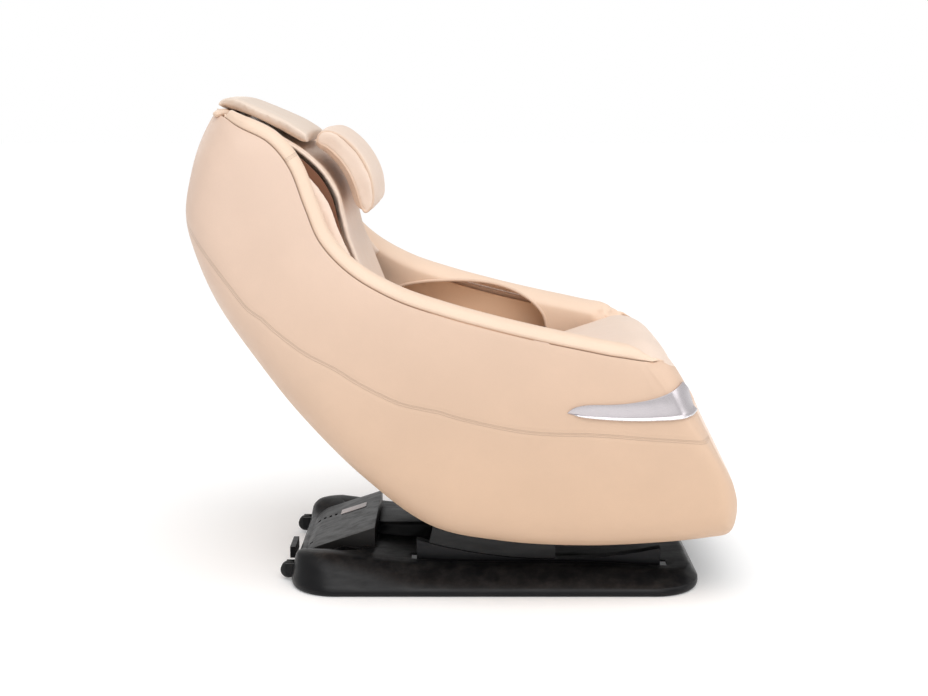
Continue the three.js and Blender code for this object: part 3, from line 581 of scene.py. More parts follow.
# The base's up-facing deck is painted a lighter grey, partly dust and partly painted light.
black_plastic = plastic("black_plastic", srgb(18, 18, 20), rough=0.36, dust_and_top_light=0.12, shine=0.2)
grey_plastic = plastic("grey_plastic", srgb(22, 20, 19), rough=0.42, texture=700, dust_and_top_light=0.03, shine=0.3)
silver_trim = metal("silver_trim", srgb(205, 199, 202), rough=0.30, metallic=0.8, wear=0.05, grain=900)
chrome_edge = metal("chrome_edge", srgb(236, 234, 238), rough=0.22, metallic=0.6, wear=0.05)
painted_steel = metal("painted_steel", srgb(64, 66, 70), rough=0.45, metallic=0.35, brushed=(1, 1, 1))
bright_steel = metal("bright_steel", srgb(186, 188, 190), rough=0.28)
rubber = plastic("rubber", srgb(26, 26, 27), rough=0.75, texture=420, depth=0.0002)
nylon = plastic("nylon", srgb(222, 218, 206), rough=0.5, texture=500)
label_film = plastic("label_film", srgb(196, 186, 185), rough=0.35, texture=1400, depth=0.00003)
switch_plastic = plastic("switch_plastic", srgb(30, 30, 31), rough=0.3)
board = circuit("board")
rail_steel = metal("rail_steel", srgb(34, 34, 36), rough=0.34, metallic=0.7, wear=0.3)
shoe_nylon = plastic("shoe_nylon", srgb(20, 20, 21), rough=0.5, texture=500)


def finish_node(name, look):
    """Gives a CAD node that stays its Blender material."""
    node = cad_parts[name]
    for slot in node.material_slots:
        slot.link = "OBJECT"
        slot.material = look


# ------------------------------------------------------------------ side panels and covers
SEAM = spline([
    (-0.470, 0.668), (-0.437, 0.628), (-0.407, 0.608), (-0.382, 0.585), (-0.322, 0.540), (-0.261, 0.508),
    (-0.219, 0.481), (-0.172, 0.456), (-0.124, 0.435), (-0.051, 0.419), (-0.008, 0.406), (0.073, 0.387),
    (0.155, 0.375), (0.269, 0.371), (0.355, 0.364), (0.455, 0.356), (0.540, 0.346),
])
SEAM_STEPS = 400
SEAM_LINE = np.array([SEAM(k / SEAM_STEPS) for k in range(SEAM_STEPS + 1)])
SEAM_RUN = np.concatenate(([0], np.cumsum(np.linalg.norm(np.diff(SEAM_LINE, axis=0), axis=1))))


def panel_uv(p):
    """Metres along and off the seam that crosses the side panel."""
    d = SEAM_LINE - np.array((p[0], p[2]))
    k = int(np.argmin((d**2).sum(1)))
    a, b = SEAM_LINE[max(k - 1, 0)], SEAM_LINE[min(k + 1, SEAM_STEPS)]
    t = (b - a) / np.linalg.norm(b - a)
    off = -(d[k][0] * -t[1] + d[k][1] * t[0])
    return (SEAM_RUN[k] - float(d[k] @ t), float(off))


PANEL_THICKNESS = 0.010
BACK_START = 0.15
PANEL_ROWS = 170
EASE_PASSES = 160
# The back has a seam down each side, above this height; a UV of a metre is clear of any seam.
BACK_SEAM_Y, BACK_SEAM_Z = 0.118, 0.5
NO_SEAM = 1.0


def panel_point(side):
    def point(a, b):
        u = lerp(PANEL_START, PANEL_END, a)
        return side_point(u, lerp(seam_v(u), 1, b), side)
    return point


def cover(start, end, inset=0.0):
    """A point function of the back or the underside, between the two side panels."""
    return lambda a, b: crown_point(lerp(start, end, a), lerp(-BACK_EDGE, BACK_EDGE, b), inset)


panel_tree = {}
for name, side in SIDES:
    skin = grid(PANEL_ROWS, 44, panel_point(side))
    # The front of the panel bulges evenly: its widths are averaged along the rows.
    eased = skin[:, :, 1].copy()
    for _ in range(EASE_PASSES):
        eased[1:-1] = (eased[:-2] + 2 * eased[1:-1] + eased[2:]) / 4
    row_u = [lerp(PANEL_START, PANEL_END, i / (PANEL_ROWS - 1)) for i in range(PANEL_ROWS)]
    share = np.array([smooth(u, 13.5, 15.5) for u in row_u])
    skin[:, :, 1] = lerp(skin[:, :, 1], eased, share[:, None])
    normal = normals_of(skin) * side
    panel = slab(f"side_panel_skin_{name}", skin, skin + normal * PANEL_THICKNESS, shell_seamed)
    set_uv(panel, panel_uv)
    finish_mesh(panel, bevel=0.003)
    place(panel, "tub", "leather_shell", f"side_panel_{name}")
    panel_tree[side] = tree_of(panel)

back_skin = grid(60, 60, cover(BACK_START, BACK_END))
back_inner = grid(60, 60, cover(BACK_START, BACK_END, 0.008))
back = slab("back_cover_skin", back_skin, back_inner, shell_seamed)
set_uv(back, lambda p: (p[2], abs(p[1]) - BACK_SEAM_Y if p[2] > BACK_SEAM_Z else NO_SEAM))
place(finish_mesh(back, bevel=0.0028), "tub", "leather_shell", "back_cover")

under_skin = grid(50, 40, cover(BACK_END + 0.03, UNDER_END))
under_inner = grid(50, 40, cover(BACK_END + 0.03, UNDER_END, 0.005))
under = slab("underside_cover_skin", under_skin, under_inner, black_plastic)
place(finish_mesh(under, bevel=0.0015), "tub", "black_plastic", "underside_cover")

# ------------------------------------------------------------------ arms: rim and inner wall in one skin
ARM_START, ARM_END = 0.12, 19.6
ARM_ROWS = 190
ARM_WALL = 0.0065
CUTTER_FROM, CUTTER_TO = 0.001, 0.302
WELL_SPAN = (6.3, 12.4, 0.55, 0.975)


def rim_height(u):
    return lerp(0.019, 0.027, smooth(u, 0, 1.4)) * (1 - 0.72 * smooth(u, 13, PANEL_END))


def wall_shift(u):
    return lerp(0.060, 0.076, smooth(u, 5.2, 7.4))


def arm_width(u):
    """How far in from the outside the padded rim turns down into the inner wall."""
    wide = wall_shift(u) + 0.009
    wide *= 0.62 + 0.38 * smooth(u, 0, 2.2)
    return lerp(lerp(wide, 0.058, smooth(u, 12.4, 14.6)), 0.007, smooth(u, 14.6, 19.4))


def rim_point(u, shift, lift, side):
    """A point in from the panel's top edge and up from it; a negative lift goes down the wall."""
    s = station(u)
    if lift >= 0:
        t = tangent(RIM, min(u / LAST, 1))
        up = lerp(s.dir, np.array((-t[1], t[0])), min(1, lift / 0.012))
        p = side_point(u, 1, side) + np.array((up[0], 0, up[1])) * lift
    else:
        p = side_point(u, math.sqrt(max(1 + lift / s.depth, 0.05)), side)
    return p - np.array((0, side * shift, 0))


def arm_section(u, side, end):
    """The arm's outside from the panel over the roll and down the inner wall; end is 0 at a closed tip."""
    wide, high, s = arm_width(u), rim_height(u) * (0.25 + 0.75 * end), station(u)
    low = lerp(1 - 0.03 / s.depth, 0.5, smooth(u, 1.8, 3.4))
    low = lerp(low, 1 - lerp(0.055, 0.004, smooth(u, 15, 17.5)) / s.depth, smooth(u, 12.3, 13.4))
    drop = (1 - low) * s.depth
    turn = -0.25 * min(drop, 0.08)
    pts = [
        (0.0035, 0.0006), (-0.0004, 0.30 * high), (0.10 * wide, 0.80 * high), (0.28 * wide, high),
        (0.52 * wide, 0.93 * high), (0.76 * wide, 0.62 * high), (0.93 * wide, 0.16 * high), (wide, turn),
    ]
    pts += [(wide, lerp(turn, -drop, k / 4)) for k in (1, 2, 3, 4)]
    curve = spline(pts)
    return [rim_point(u, *curve(k / 63), side) for k in range(64)]


WELL_CORNERS = [
    ((-0.185, 0.575), (-0.175, 0.600), (-0.100, 0.612)), ((-0.025, 0.611), (0.080, 0.609), (0.165, 0.580)),
    ((0.194, 0.525), (0.206, 0.495), (0.206, 0.470)), ((0.192, 0.460), (0.120, 0.435), (0.000, 0.440)),
    ((-0.060, 0.470), (-0.120, 0.500), (-0.195, 0.520)),
]


def well_outline():
    """The opening of the arm well in X and Z."""
    pts = []
    for k, (a, b, c) in enumerate(WELL_CORNERS):
        pts += bezier(a, b, c, WELL_CORNERS[(k + 1) % len(WELL_CORNERS)][0], 18)
    return pts


def well_lining(side, shift):
    def point(a, b):
        u = lerp(WELL_SPAN[0], WELL_SPAN[1], a)
        p = side_point(u, math.sqrt(lerp(WELL_SPAN[2], WELL_SPAN[3], b)), side)
        p[1] -= side * shift
        return p
    return grid(50, 16, point)


# Where a seam crosses the padded rim beside the head, and how far from it the seam can reach.
CROSS_AT = 2.75 / LAST
CROSS = RIM(CROSS_AT)
CROSS_DIR = tangent(RIM, CROSS_AT)
CROSS_REACH = 0.12


def rim_uv(p):
    d = np.array((p[0], p[2])) - CROSS
    return (p[1], float(d @ CROSS_DIR) if np.linalg.norm(d) < CROSS_REACH else NO_SEAM)


for name, side in SIDES:
    sections, thickness = [], []
    for i in range(ARM_ROWS):
        u = lerp(ARM_START, ARM_END, i / (ARM_ROWS - 1))
        end = min(1, min((u - ARM_START) * 5, ARM_END - u))
        sections.append(arm_section(u, side, math.sqrt(max(0, 1 - (1 - end) ** 2))))
        thickness.append(ARM_WALL - 0.0050 * smooth(u, 16.5, 19))
    skin = np.array(sections)
    normal = normals_of(skin)
    if normal[ARM_ROWS // 2, 20][2] < 0:
        normal = -normal
    inside = skin - normal * np.array(thickness)[:, None, None]
    arm = slab(f"arm_skin_{name}", skin, inside, arm_leather)
    tree = tree_of(arm)
    cutter = prism("well_cutter", [tuple(p) for p in well_outline()], CUTTER_FROM * side, CUTTER_TO * side)
    boolean(arm, cutter)
    one_look(arm, arm_leather)
    set_uv(arm, rim_uv)
    finish_mesh(arm, bevel=0.0018, angle=55)
    place(arm, "tub", "leather_shell", f"arm_roll_{name}", f"inner_wall_{name}")
    ring = []
    for x, z in well_outline():
        hit = tree.ray_cast(Vector((x, 0, z)), Vector((0, side, 0)))[0]
        if hit is not None:
            ring.append((hit.x, hit.y - 0.0005 * side, hit.z))
    welt = tube(f"arm_well_piping_{name}", ring, 0.0038, welt_leather, closed=True)
    place(welt, "tub", "leather_shell")
    liner = slab(f"arm_well_liner_{name}", well_lining(side, 0.016), well_lining(side, 0.021), lining_leather)
    place(finish_mesh(liner, bevel=0.0015), "tub", "lining", f"arm_well_lining_{name}")

# Roll that closes the top of the back between the two rims.
ROLL_X, ROLL_Z, ROLL_LENGTH, ROLL_DEEP, ROLL_HIGH = -0.506, 1.0135, 0.217, 0.017, 0.0105
ROLL_RUNS = 40


def roll_section(y):
    end = math.sqrt(max(0.02, 1 - (abs(y) / (ROLL_LENGTH + 0.0015)) ** 6))
    turns = np.linspace(0, 2 * math.pi, 24, endpoint=False)
    deep, high = ROLL_DEEP * end, ROLL_HIGH * end
    return [np.array((ROLL_X + deep * math.cos(t), y, ROLL_Z + high * math.sin(t))) for t in turns]


crown = [roll_section(lerp(-ROLL_LENGTH, ROLL_LENGTH, k / ROLL_RUNS)) for k in range(ROLL_RUNS + 1)]
place(loft("crown_roll", crown, shell_leather), "tub", "leather_shell")

# ------------------------------------------------------------------ trim blades
TRIM_TIP, TRIM_CORNER = (0.209, 0.417), (0.500, 0.411)
TRIM_SWEEP = [tuple(p) for p in bezier((0.240, 0.4105), (0.300, 0.402), (0.400, 0.397), TRIM_CORNER, 16)]
lower = spline([TRIM_TIP] + TRIM_SWEEP + [TRIM_CORNER])
upper = spline([
    TRIM_TIP, (0.222, 0.4275), (0.250, 0.4335), (0.300, 0.4340), (0.345, 0.4375), (0.395, 0.4475),
    (0.448, 0.470),
])
TRIM_INNER_Y = 0.272
TRIM_ROWS, TRIM_COLS = 90, 26


def trim_lip(t):
    """How far the blade stands off the leather, from its lower edge at 0 to its upper edge at 1."""
    if t < 0.15:
        return lerp(0.0042, 0.0016, smooth(t, 0.0, 0.15))
    return lerp(0.0016, 0.0044, smooth(t, 0.15, 0.9))


for name, side in SIDES:
    tree = panel_tree[side]

    def on_panel(s, t):
        q = lerp(lower(s), upper(s), t)
        return tree.ray_cast(Vector((q[0], side * 0.6, q[1])), Vector((0, -side, 0)))

    # The blade follows the panel round the corner until the panel turns away.
    reach = []
    for j in range(TRIM_COLS):
        t = j / (TRIM_COLS - 1)
        s = 1.0
        while s > 0.7 and (on_panel(s, t)[0] is None or abs(on_panel(s, t)[0].y) < TRIM_INNER_Y):
            s -= 0.001
        reach.append(s - 0.004)
    front, back_pts = [], []
    for i in range(TRIM_ROWS):
        along = i / (TRIM_ROWS - 1)
        line, low = [], []
        for j in range(TRIM_COLS):
            t = j / (TRIM_COLS - 1)
            hit, normal = on_panel(max(along**0.9 * reach[j], 0.0005), t)[:2]
            n = np.array(normal)
            n = n if n[1] * side > 0 else -n
            lip = trim_lip(t) * smooth(along, -0.02, 0.08)
            line.append(np.array(hit) + n * (0.0004 + lip))
            low.append(np.array(hit) + n * 0.0003)
        front.append(line)
        back_pts.append(low)
    trim = slab(f"trim_blade_skin_{name}", np.array(front), np.array(back_pts), silver_trim)
    finish_mesh(trim, bevel=0.0006, segments=2, angle=50)
    place(trim, "tub", "silver_trim", f"trim_blade_{name}")
    edge_line = [front[i][0] + np.array((0, side * 0.0004, 0)) for i in range(2, TRIM_ROWS)]
    strip = tube(f"trim_edge_{name}", edge_line, 0.0016, chrome_edge, sides=8)
    place(strip, "tub", "silver_trim")

# ------------------------------------------------------------------ padded pieces
CLOTH_FRAMES = 20


def millimetres(points):
    return spline(np.array(points) / 1000)


def pad_mesh(name, front, back, width_at, size, material, crown=0.0, edge=0.3, shrink=0.001, hollow=0.0):
    """A pad between two side profiles in millimetres, crowned or hollow across its width."""
    a, b = millimetres(front), millimetres(back)

    def face(curve, other, lift):
        def point(i, j):
            p, q = curve(i), other(i)
            sides = abs(2 * j - 1) ** 3
            t = sides * edge / 2
            length = max(float(np.linalg.norm(p - q)), 1e-6)
            out = (p - q) / length
            away = out * (lift * (1 - sides) - min(shrink, 0.3 * length))
            away = away - out * hollow * (1 - (2 * j - 1) ** 4) * (1 if curve is a else -1)
            w = width_at(i) - shrink
            return np.array((lerp(p[0], q[0], t) + away[0], lerp(-w, w, j), lerp(p[1], q[1], t) + away[1]))
        return grid(*size, point)

    return slab(name, face(a, b, crown), face(b, a, 0), material)


def puff(obj, voxel, pressure, cap, mask=None):
    """Swells a closed form as sewn fabric over filling, by cloth simulation, and keeps the result.

    cap is the most that a point may move, and mask is the share of it at a place.
    """
    look = obj.data.materials[0]
    m = obj.modifiers.new("remesh", "REMESH")
    m.mode = "VOXEL"
    m.voxel_size = voxel
    apply_modifiers(obj)
    if not obj.data.materials:
        obj.data.materials.append(look)
    scene = bpy.context.scene
    rest = np.array([v.co for v in obj.data.vertices])
    cloth = obj.modifiers.new("cloth", "CLOTH")
    s = cloth.settings
    s.quality = 4
    s.mass = 0.3
    s.tension_stiffness = s.compression_stiffness = 15
    s.shear_stiffness = 5
    s.bending_stiffness = 0.5
    s.use_pressure = True
    s.uniform_pressure_force = pressure
    s.effector_weights.gravity = 0
    cloth.collision_settings.use_collision = False
    cloth.point_cache.frame_start = 1
    cloth.point_cache.frame_end = CLOTH_FRAMES
    for f in range(1, CLOTH_FRAMES + 1):
        scene.frame_set(f)
    deps = bpy.context.evaluated_depsgraph_get()
    moved = np.array([v.co for v in obj.evaluated_get(deps).data.vertices])
    obj.modifiers.remove(cloth)
    d = moved - rest
    length = np.maximum(np.linalg.norm(d, axis=1, keepdims=True), 1e-9)
    d = d / length * cap * np.tanh(length / cap)
    if mask is not None:
        d *= np.array([mask(p) for p in rest])[:, None]
    obj.data.vertices.foreach_set("co", (rest + d).reshape(-1))
    obj.data.update()
    scene.frame_set(1)
    r = obj.modifiers.new("relax", "SMOOTH")
    r.factor = 0.5
    r.iterations = 4
    finish_mesh(obj, subdivide=1)
    apply_modifiers(obj)


def between(front, rear, t):
    return [(lerp(p[0], q[0], t), lerp(p[1], q[1], t)) for p, q in zip(front, rear)]


SEAT_TOP = [
    (-150, 408), (-60, 414), (60, 440), (190, 478), (300, 513), (372, 530), (414, 525), (442, 504),
    (452, 482), (449, 464),
]
SEAT_BOTTOM = [
    (-140, 330), (-60, 332), (60, 350), (190, 380), (300, 404), (350, 412), (380, 418), (410, 424),
    (430, 432), (438, 442),
]
SEAT_SIDE = spline([(w, 0) for w in (0.243, 0.243, 0.243, 0.243, 0.250, 0.288, 0.311, 0.292, 0.268, 0.262)])
seat = pad_mesh("seat_pad", SEAT_TOP, SEAT_BOTTOM, lambda i: float(SEAT_SIDE(i)[0]), (90, 60),
                pad_leather, crown=0.008, shrink=0.003)
puff(seat, 0.0065, 4, 0.008, mask=lambda p: smooth(p[2], 0.34, 0.44))
place(seat, "tub", "leather_pad", "seat_cushion")

# The back pad: a hollow front cushion, and a thin liner behind its lower part.
BACK_FACE = [
    (-500, 1019), (-462, 1010), (-417, 994), (-372, 970), (-330, 944), (-284, 900), (-256, 850), (-244, 800),
    (-233, 752), (-206, 680), (-174, 600), (-140, 520), (-112, 450),
]
BACK_REAR = [
    (-497, 990), (-470, 982), (-432, 966), (-390, 942), (-352, 916), (-312, 878), (-288, 838), (-276, 794),
    (-264, 744), (-238, 668), (-206, 588), (-172, 508), (-146, 444),
]
LINER_FROM = 7


def back_layer(name, near, far, width_at, size, skip=0, hollow=0.0):
    """A layer of the back pad between two shares of its depth."""
    front, rear = between(BACK_FACE, BACK_REAR, near), between(BACK_FACE, BACK_REAR, far)
    return pad_mesh(name, front[skip:], rear[skip:], width_at, size, pad_leather, hollow=hollow)


cushion = back_layer("back_pad_cushion", 0, 0.42, lambda i: lerp(0.172, 0.198, smooth(i, 0, 0.12)),
                     (100, 50), hollow=0.014)
puff(cushion, 0.0052, 4, 0.004)
place(cushion, "back_pad", "leather_pad", "back_cushion")
layer = back_layer("back_pad_liner", 0.62, 0.95, lambda i: 0.197 - 0.012 * (1 - smooth(i, 0, 0.5)),
                   (60, 50), skip=LINER_FROM)
puff(layer, 0.0048, 3, 0.002)
place(layer, "back_pad", "leather_pad")
rear_line = millimetres(between(BACK_FACE, BACK_REAR, 0.5))
GUSSET_REACH = 0.085


def gusset(side, y):
    """The brown leather between the back pad and the tub, that fills the recess beside the pad."""
    def point(a, b):
        t = lerp(0.16, 0.97, a)
        d = tangent(rear_line, t)
        away = np.array((d[1], -d[0]))
        away = away if away[0] < 0 else -away
        reach = GUSSET_REACH * math.sin(math.pi * lerp(0.10, 0.96, a)) ** 0.6
        q = rear_line(t) + away * (0.003 + b * reach)
        return np.array((q[0], side * (y + 0.004 * math.sin(math.pi * b)), q[1]))
    return grid(70, 16, point)


for name, side in SIDES:
    recess = slab(f"back_recess_gusset_{name}", gusset(side, 0.2015), gusset(side, 0.1985), recess_leather)
    place(finish_mesh(recess, bevel=0.001), "tub", "lining")

FLAP_TOP = [(-522, 1032), (-508, 1045), (-481, 1046), (-444, 1032), (-394, 1011), (-361, 995), (-326, 973)]
FLAP_UNDER = [(-516, 1026), (-500, 1026), (-470, 1019), (-428, 1004), (-380, 980), (-352, 964), (-326, 948)]
flap = pad_mesh("pillow_flap_cloth", FLAP_TOP, FLAP_UNDER, lambda i: lerp(0.148, 0.184, smooth(i, 0.1, 0.9)),
                (60, 50), flap_leather)
puff(flap, 0.0042, 3, 0.004)
place(flap, "pillow", "leather_flap", "pillow_flap")

PILLOW_FACE = [
    (-315, 950), (-314, 972), (-302, 986), (-274, 983), (-240, 958), (-212, 924), (-192, 884), (-186, 848),
    (-188, 821), (-203, 801), (-215, 799),
]
PILLOW_BACK = [
    (-318, 951), (-306, 944), (-294, 936), (-278, 922), (-262, 902), (-250, 880), (-242, 858), (-236, 838),
    (-230, 822), (-222, 812), (-216, 808),
]
pillow = pad_mesh("head_pillow_cushion", PILLOW_FACE, PILLOW_BACK, lambda i: 0.165, (70, 50),
                  pillow_leather, crown=0.004, edge=0.25, shrink=0.004)
puff(pillow, 0.005, 5, 0.009)
place(pillow, "pillow", "leather_pad", "head_pillow")
pillow_tree = tree_of(pillow)
face, rear = millimetres(PILLOW_FACE), millimetres(PILLOW_BACK)
profile = [face(k / 60) for k in range(61)] + [rear(1 - k / 40) for k in range(1, 40)]
for name, side in SIDES:
    ring = []
    for x, z in profile:
        hit = pillow_tree.find_nearest(Vector((x, side * 0.157, z)))[0]
        ring.append(np.array(hit))
    ring = np.array(ring)
    for _ in range(6):
        ring = (np.roll(ring, 1, 0) + 2 * ring + np.roll(ring, -1, 0)) / 4
    place(tube(f"pillow_welt_{name}", ring, 0.0030, welt_leather, closed=True), "pillow", "leather_pad")

SHOULDER_FROM, SHOULDER_TO, SHOULDER_RISE = 3.3, 6.3, 0.044


def shoulder(side, shift, bulge):
    def point(a, b):
        u = lerp(SHOULDER_FROM, SHOULDER_TO, a)
        s = station(u)
        rise = SHOULDER_RISE * math.sin(math.pi * lerp(0.10, 0.97, a) ** 0.85)
        run = lerp(0.72, 1 + rise / s.depth, b)
        swell = math.sin(math.pi * a) * math.sin(math.pi * b)
        q = s.o + s.dir * s.depth * run
        y = side_point(u, 1, side)[1] - side * (shift + bulge * swell)
        return np.array((q[0], y, q[1]))
    return grid(40, 26, point)


for name, side in SIDES:
    outer, inner = shoulder(side, 0.0750, 0.0), shoulder(side, 0.0845, 0.018)
    shoulder_piece = slab(f"shoulder_cushion_{name}", outer, inner, pad_leather)
    puff(shoulder_piece, 0.0034, 4, 0.003)
    place(shoulder_piece, "tub", "leather_pad", f"shoulder_pad_{name}")

# ------------------------------------------------------------------ leg rest
LEG_HALF_WIDTH = FRONT_EDGE * 0.340 - 0.004
LEG_TOP, LEG_BOTTOM = 18.42, 14.75
CALF_CENTRE, CALF_HALF, CALF_DEPTH = 0.128, 0.084, 0.046
CALF_SEAMS = (-0.212, -0.044, 0.044, 0.212)


def calf_dip(y):
    t = min(abs(abs(y) - CALF_CENTRE) / CALF_HALF, 1)
    return CALF_DEPTH * math.cos(t * math.pi / 2) ** 1.2


def leg_fade(a):
    return smooth(a, 0, 0.16) * (1 - smooth(a, 0.86, 1))


def pad_depth(a):
    return lerp(0.016, 0.064, smooth(a, 0, 0.2)) * lerp(1, 0.8, a)


def leg_grid(rows, cols, inset):
    def point(a, b):
        y = lerp(-LEG_HALF_WIDTH, LEG_HALF_WIDTH, b)
        u = lerp(LEG_TOP, LEG_BOTTOM, a)
        return crown_point(u, y / station(u).w, inset(a, y))
    return grid(rows, cols, point)


leg_front = leg_grid(80, 110, lambda a, y: calf_dip(y) * leg_fade(a))
leg_back = leg_grid(80, 110, lambda a, y: pad_depth(a))
leg_pad = slab("leg_rest_cushion", leg_front, leg_back, pad_seamed)
set_uv(leg_pad, lambda p: (p[2], min((p[1] - c for c in CALF_SEAMS), key=abs)))
place(finish_mesh(leg_pad, bevel=0.004, segments=4, angle=50), "leg_rest", "leather_pad", "leg_rest_pad")
shell_front = leg_grid(50, 40, lambda a, y: pad_depth(a) + 0.0015)
shell_back = leg_grid(50, 40, lambda a, y: pad_depth(a) + 0.0015 + 0.001 * lerp(8, 26, math.sin(math.pi * a)))
leg_shell = slab("leg_rest_back_shell", shell_front, shell_back, black_plastic)
place(finish_mesh(leg_shell, bevel=0.003, angle=50), "leg_rest", "black_plastic", "leg_rest_shell")

# Leather that closes the gap between the seat's front and the top of the leg rest.
APRON_EDGE = 0.765
APRON_TOP, APRON_BOTTOM = 19.8, 18.15


def apron_face(inset):
    def point(a, b):
        u = lerp(APRON_TOP, APRON_BOTTOM, a)
        tuck = 0.013 * (1 - smooth(a, 0, 0.35)) + 0.004 * math.sin(math.pi * a)
        return crown_point(u, lerp(-APRON_EDGE, APRON_EDGE, b), inset + tuck)
    return grid(30, 60, point)


apron = slab("leg_rest_apron", apron_face(0.004), apron_face(0.0055), pad_leather)
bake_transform(apron)

# ------------------------------------------------------------------ base
BASE = {"rear": -0.378, "front": 0.512, "half": 0.285, "corner": 0.100}


def plan_loop(end_inset, side_inset, height, segments=14, spans=22):
    r = max(BASE["corner"] - (end_inset + side_inset) / 2, 0.020)
    y = BASE["half"] - side_inset - r
    x0, x1 = BASE["rear"] + end_inset + r, BASE["front"] - end_inset - r
    pts = []
    corners = [(x1, y, 0), (x0, y, 90), (x0, -y, 180), (x1, -y, 270)]
    for n, (cx, cy, start) in enumerate(corners):
        for k in range(segments + 1):
            a = math.radians(start + 90 * k / segments)
            pts.append((cx + r * math.cos(a), cy + r * math.sin(a)))
        nx, ny, nstart = corners[(n + 1) % 4]
        a = math.radians(nstart)
        ex, ey = nx + r * math.cos(a), ny + r * math.sin(a)
        px, py = pts[-1]
        for k in range(1, spans):
            pts.append((lerp(px, ex, k / spans), lerp(py, ey, k / spans)))
    return [np.array((px, py, height(px, py))) for px, py in pts]


def rim_top(x, y):
    fall = 0.0095 * smooth(x, 0.250, 0.460)
    rise = 0.030 * min(max((0.060 - x) / 0.350, 0), 1) ** 2.2
    dip = 1 if x > -0.250 else smooth(abs(y), 0.120, 0.205)
    return lerp(0.054, 0.0495 - fall + rise, dip)


def level(z):
    return lambda x, y: z


def below(drop):
    return lambda x, y: rim_top(x, y) - drop


def flank(x, y):
    return lerp(0.018, rim_top(x, y) - 0.008, 0.54)


def plan_solid(name, table, material=None):
    """A solid through plan outlines, each with its insets at the ends and sides, and its height."""
    return loft(name, [plan_loop(*row) for row in table], material)


COVER_RINGS = [
    (0.012, 0.009, level(0.0)), (0.008, 0.005, level(0.0005)), (0.003, 0.0015, level(0.0035)),
    (0.001, 0.0, level(0.008)), (0.0, 0.002, level(0.0135)), (0.0003, 0.006, level(0.019)),
    (0.005, 0.025, flank), (0.009, 0.042, below(0.0098)), (0.0125, 0.053, below(0.0042)),
    (0.0150, 0.0585, below(0.0018)), (0.0185, 0.0645, below(0.0004)), (0.026, 0.074, below(0)),
    (0.040, 0.090, below(0)), (0.070, 0.115, below(0)), (0.110, 0.150, below(0)),
    (0.155, 0.188, below(0)), (0.200, 0.225, below(0)), (0.255, 0.250, below(0)),
]
INNER_RINGS = [
    (0.012, 0.009, level(-0.010)), (0.012, 0.009, level(0.001)), (0.005, 0.005, level(0.008)),
    (0.005, 0.012, level(0.018)), (0.013, 0.052, below(0.014)), (0.023, 0.070, below(0.005)),
    (0.040, 0.090, below(0.004)), (0.110, 0.150, below(0.004)), (0.200, 0.225, below(0.004)),
    (0.255, 0.250, below(0.004)),
]
# The hump over the tilt actuator: X of each section and its share of the full height.
HUMP = [
    (-0.194, 1), (-0.150, 1), (-0.080, 1), (-0.010, 1), (0.030, 1), (0.046, 0.97), (0.053, 0.90),
    (0.056, 0.80),
]
HUMP_SIDES, HUMP_FOOT, HUMP_ROUND = (-0.038, 0.100), 0.030, 0.010


def hump_section(x, share):
    top, r, (y0, y1) = lerp(0.040, 0.089, share), HUMP_ROUND, HUMP_SIDES
    loop = [(x, y0, HUMP_FOOT)]
    for cy, start in ((y0 + r, 180), (y1 - r, 90)):
        for a in range(0, 91, 15):
            t = math.radians(start - a)
            loop.append((x, cy + r * math.cos(t), top - r + r * math.sin(t)))
    loop.append((x, y1, HUMP_FOOT))
    return [np.array(q) for q in loop]


base = plan_solid("base_cover_shell", COVER_RINGS, black_plastic)
boolean(base, loft("hump", [hump_section(x, share) for x, share in HUMP]), "UNION")
boolean(base, plan_solid("hollow", INNER_RINGS))
# Openings for the actuator, the two rails, the tilt bracket, the control box and the two castors.
RAIL_Y, CASTOR_Y = 0.175, 0.17
boolean(base, block("cut", (-0.225, -0.034, 0.010), (0.065, 0.096, 0.085)))
for side in (1, -1):
    y = side * RAIL_Y
    boolean(base, block("cut", (-0.115, y - 0.017, 0.015), (0.445, y + 0.017, 0.075)))
boolean(base, block("cut", (0.030, -0.032, 0.015), (0.345, 0.032, 0.075)))
boolean(base, block("cut", (-0.324, -0.145, 0.010), (-0.200, 0.145, 0.100)))
for side in (1, -1):
    y = side * CASTOR_Y
    boolean(base, block("cut", (-0.406, y - 0.021, -0.014), (-0.350, y + 0.021, 0.046)))
one_look(base, black_plastic)
finish_mesh(base, bevel=0.0012, segments=2, angle=35)
place(base, "base", "black_plastic", "base_cover")

BOX = {"half": 0.150, "front": -0.197, "rear": -0.366, "slope": 0.333}


def box_top(x, y):
    ridge = 0.118 + (x - BOX["front"]) * BOX["slope"]
    shoulder = 0.022 * (max(0, (-0.322 - x) / 0.044)) ** 2
    return ridge - shoulder - 0.006 * (abs(y) / BOX["half"]) ** 4


def box_grid(height):
    def point(a, b):
        x, y = lerp(BOX["rear"], BOX["front"], a), lerp(-BOX["half"], BOX["half"], b)
        return np.array((x, y, height(x, y)))
    return grid(60, 70, point)


control = slab("control_box_housing", box_grid(box_top), box_grid(level(0.0335)), grey_plastic)
boolean(control, block("cut", (-0.215, -0.031, 0.028), (-0.180, 0.031, 0.082)))
VENTS = 4
for k in range(VENTS):
    x = lerp(-0.342, -0.303, k / (VENTS - 1))
    boolean(control, block("vent", (x, 0.035, 0.030), (x + 0.006, 0.048, 0.140)))
boolean(control, block("socket", (-0.346, -0.112, 0.030), (-0.339, -0.104, 0.140)))
one_look(control, grey_plastic)
finish_mesh(control, bevel=0.006, segments=4, angle=50)
place(control, "base", "grey_plastic", "control_box_cover")

# ------------------------------------------------------------------ CAD nodes that stay
def pairs(*stems):
    return [f"{stem}_{name}" for stem in stems for name, _ in SIDES]


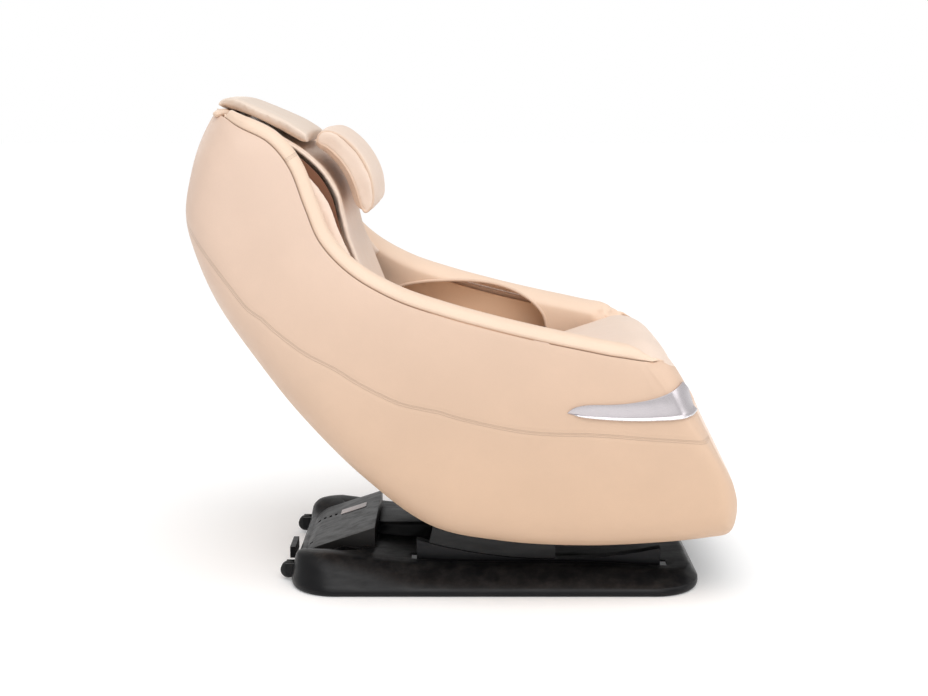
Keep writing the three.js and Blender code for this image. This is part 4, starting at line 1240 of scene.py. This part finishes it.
KEPT = [
    (painted_steel, pairs("frame_side") + [
        "base_frame", "frame_cross_tube", "tilt_actuator_mount", "tilt_actuator_body", "tilt_bracket",
        "leg_rest_motor", "knead_motor", "carriage_frame"]),
    (rail_steel, pairs("rail")),
    (bright_steel, pairs("track", "roller_arm") + ["lift_screw", "tilt_actuator_rod", "leg_rest_shaft"]),
    (shoe_nylon, pairs("glide_shoe")),
    (nylon, pairs("roller_upper", "roller_lower")),
    (rubber, pairs("foot_front", "foot_rear", "castor_wheel")),
    (black_plastic, pairs("castor_fork") + ["power_inlet", "power_supply"]),
    (switch_plastic, ["power_switch"]),
    (label_film, ["rating_plate"]),
    (board, ["control_board"]),
]
for look, names in KEPT:
    for node_name in names:
        finish_node(node_name, look)

# ------------------------------------------------------------------ floor, light and camera
floor_look = Nodes("floor")
cloudy = floor_look.mix(floor_look.noise(3), srgb(250, 250, 250), srgb(246, 246, 246))
floor_look.put(floor_look.bsdf.inputs["Base Color"], cloudy)
floor_look.bsdf.inputs["Roughness"].default_value = 0.9
floor_look.bsdf.inputs["Emission Color"].default_value = (1, 1, 1, 1)
floor_look.bsdf.inputs["Emission Strength"].default_value = 0.09
FLOOR_HALF = 30
floor_corners = [(x * FLOOR_HALF, y * FLOOR_HALF, 0) for x, y in ((-1, -1), (1, -1), (1, 1), (-1, 1))]
floor = new_object("floor", floor_corners, [(0, 1, 2, 3)], floor_look.material)

# The sky lights the object less than it shows to the camera, so the background is white.
SKY_LIGHT, SKY_SEEN = 0.58, 1.0
scene = bpy.context.scene
world = bpy.data.worlds.new("studio")
world.use_nodes = True
sky = world.node_tree
backdrop = sky.nodes["Background"]
backdrop.inputs[0].default_value = (1, 1, 1, 1)
seen, strength = sky.nodes.new("ShaderNodeLightPath"), sky.nodes.new("ShaderNodeMapRange")
sky.links.new(seen.outputs["Is Camera Ray"], strength.inputs[0])
strength.inputs[3].default_value = SKY_LIGHT
strength.inputs[4].default_value = SKY_SEEN
sky.links.new(strength.outputs[0], backdrop.inputs[1])
scene.world = world
scene.view_settings.view_transform = "Standard"


def softbox(name, location, target, size, power):
    data = bpy.data.lights.new(name, "AREA")
    data.shape = "RECTANGLE"
    data.size, data.size_y = size
    data.energy = power
    obj = bpy.data.objects.new(name, data)
    obj.location = location
    obj.rotation_euler = (Vector(target) - Vector(location)).to_track_quat("-Z", "Y").to_euler()
    scene.collection.objects.link(obj)


softbox("key", (0.0, -2.9, 3.4), (0, 0, 0.9), (2.2, 1.6), 15)
softbox("front_fill", (2.9, -0.7, 1.9), (0, 0, 0.6), (1.8, 1.8), 15)
softbox("back_fill", (-1.8, 2.6, 2.0), (0, 0, 0.5), (2.4, 2.0), 16)
sun = bpy.data.lights.new("overhead", "SUN")
sun.energy = 1.55
sun.angle = math.radians(60)
overhead = bpy.data.objects.new("overhead", sun)
overhead.rotation_euler = (math.radians(30), math.radians(6), 0)
scene.collection.objects.link(overhead)

CAMERA_PITCH = 10.23
data = bpy.data.cameras.new("camera")
data.lens = 53.73
data.sensor_width = 36
camera = bpy.data.objects.new("camera", data)
camera.location = (0, -3.090, 1.046)
camera.rotation_euler = (math.radians(90 - CAMERA_PITCH), 0, 0)
scene.collection.objects.link(camera)
scene.camera = camera
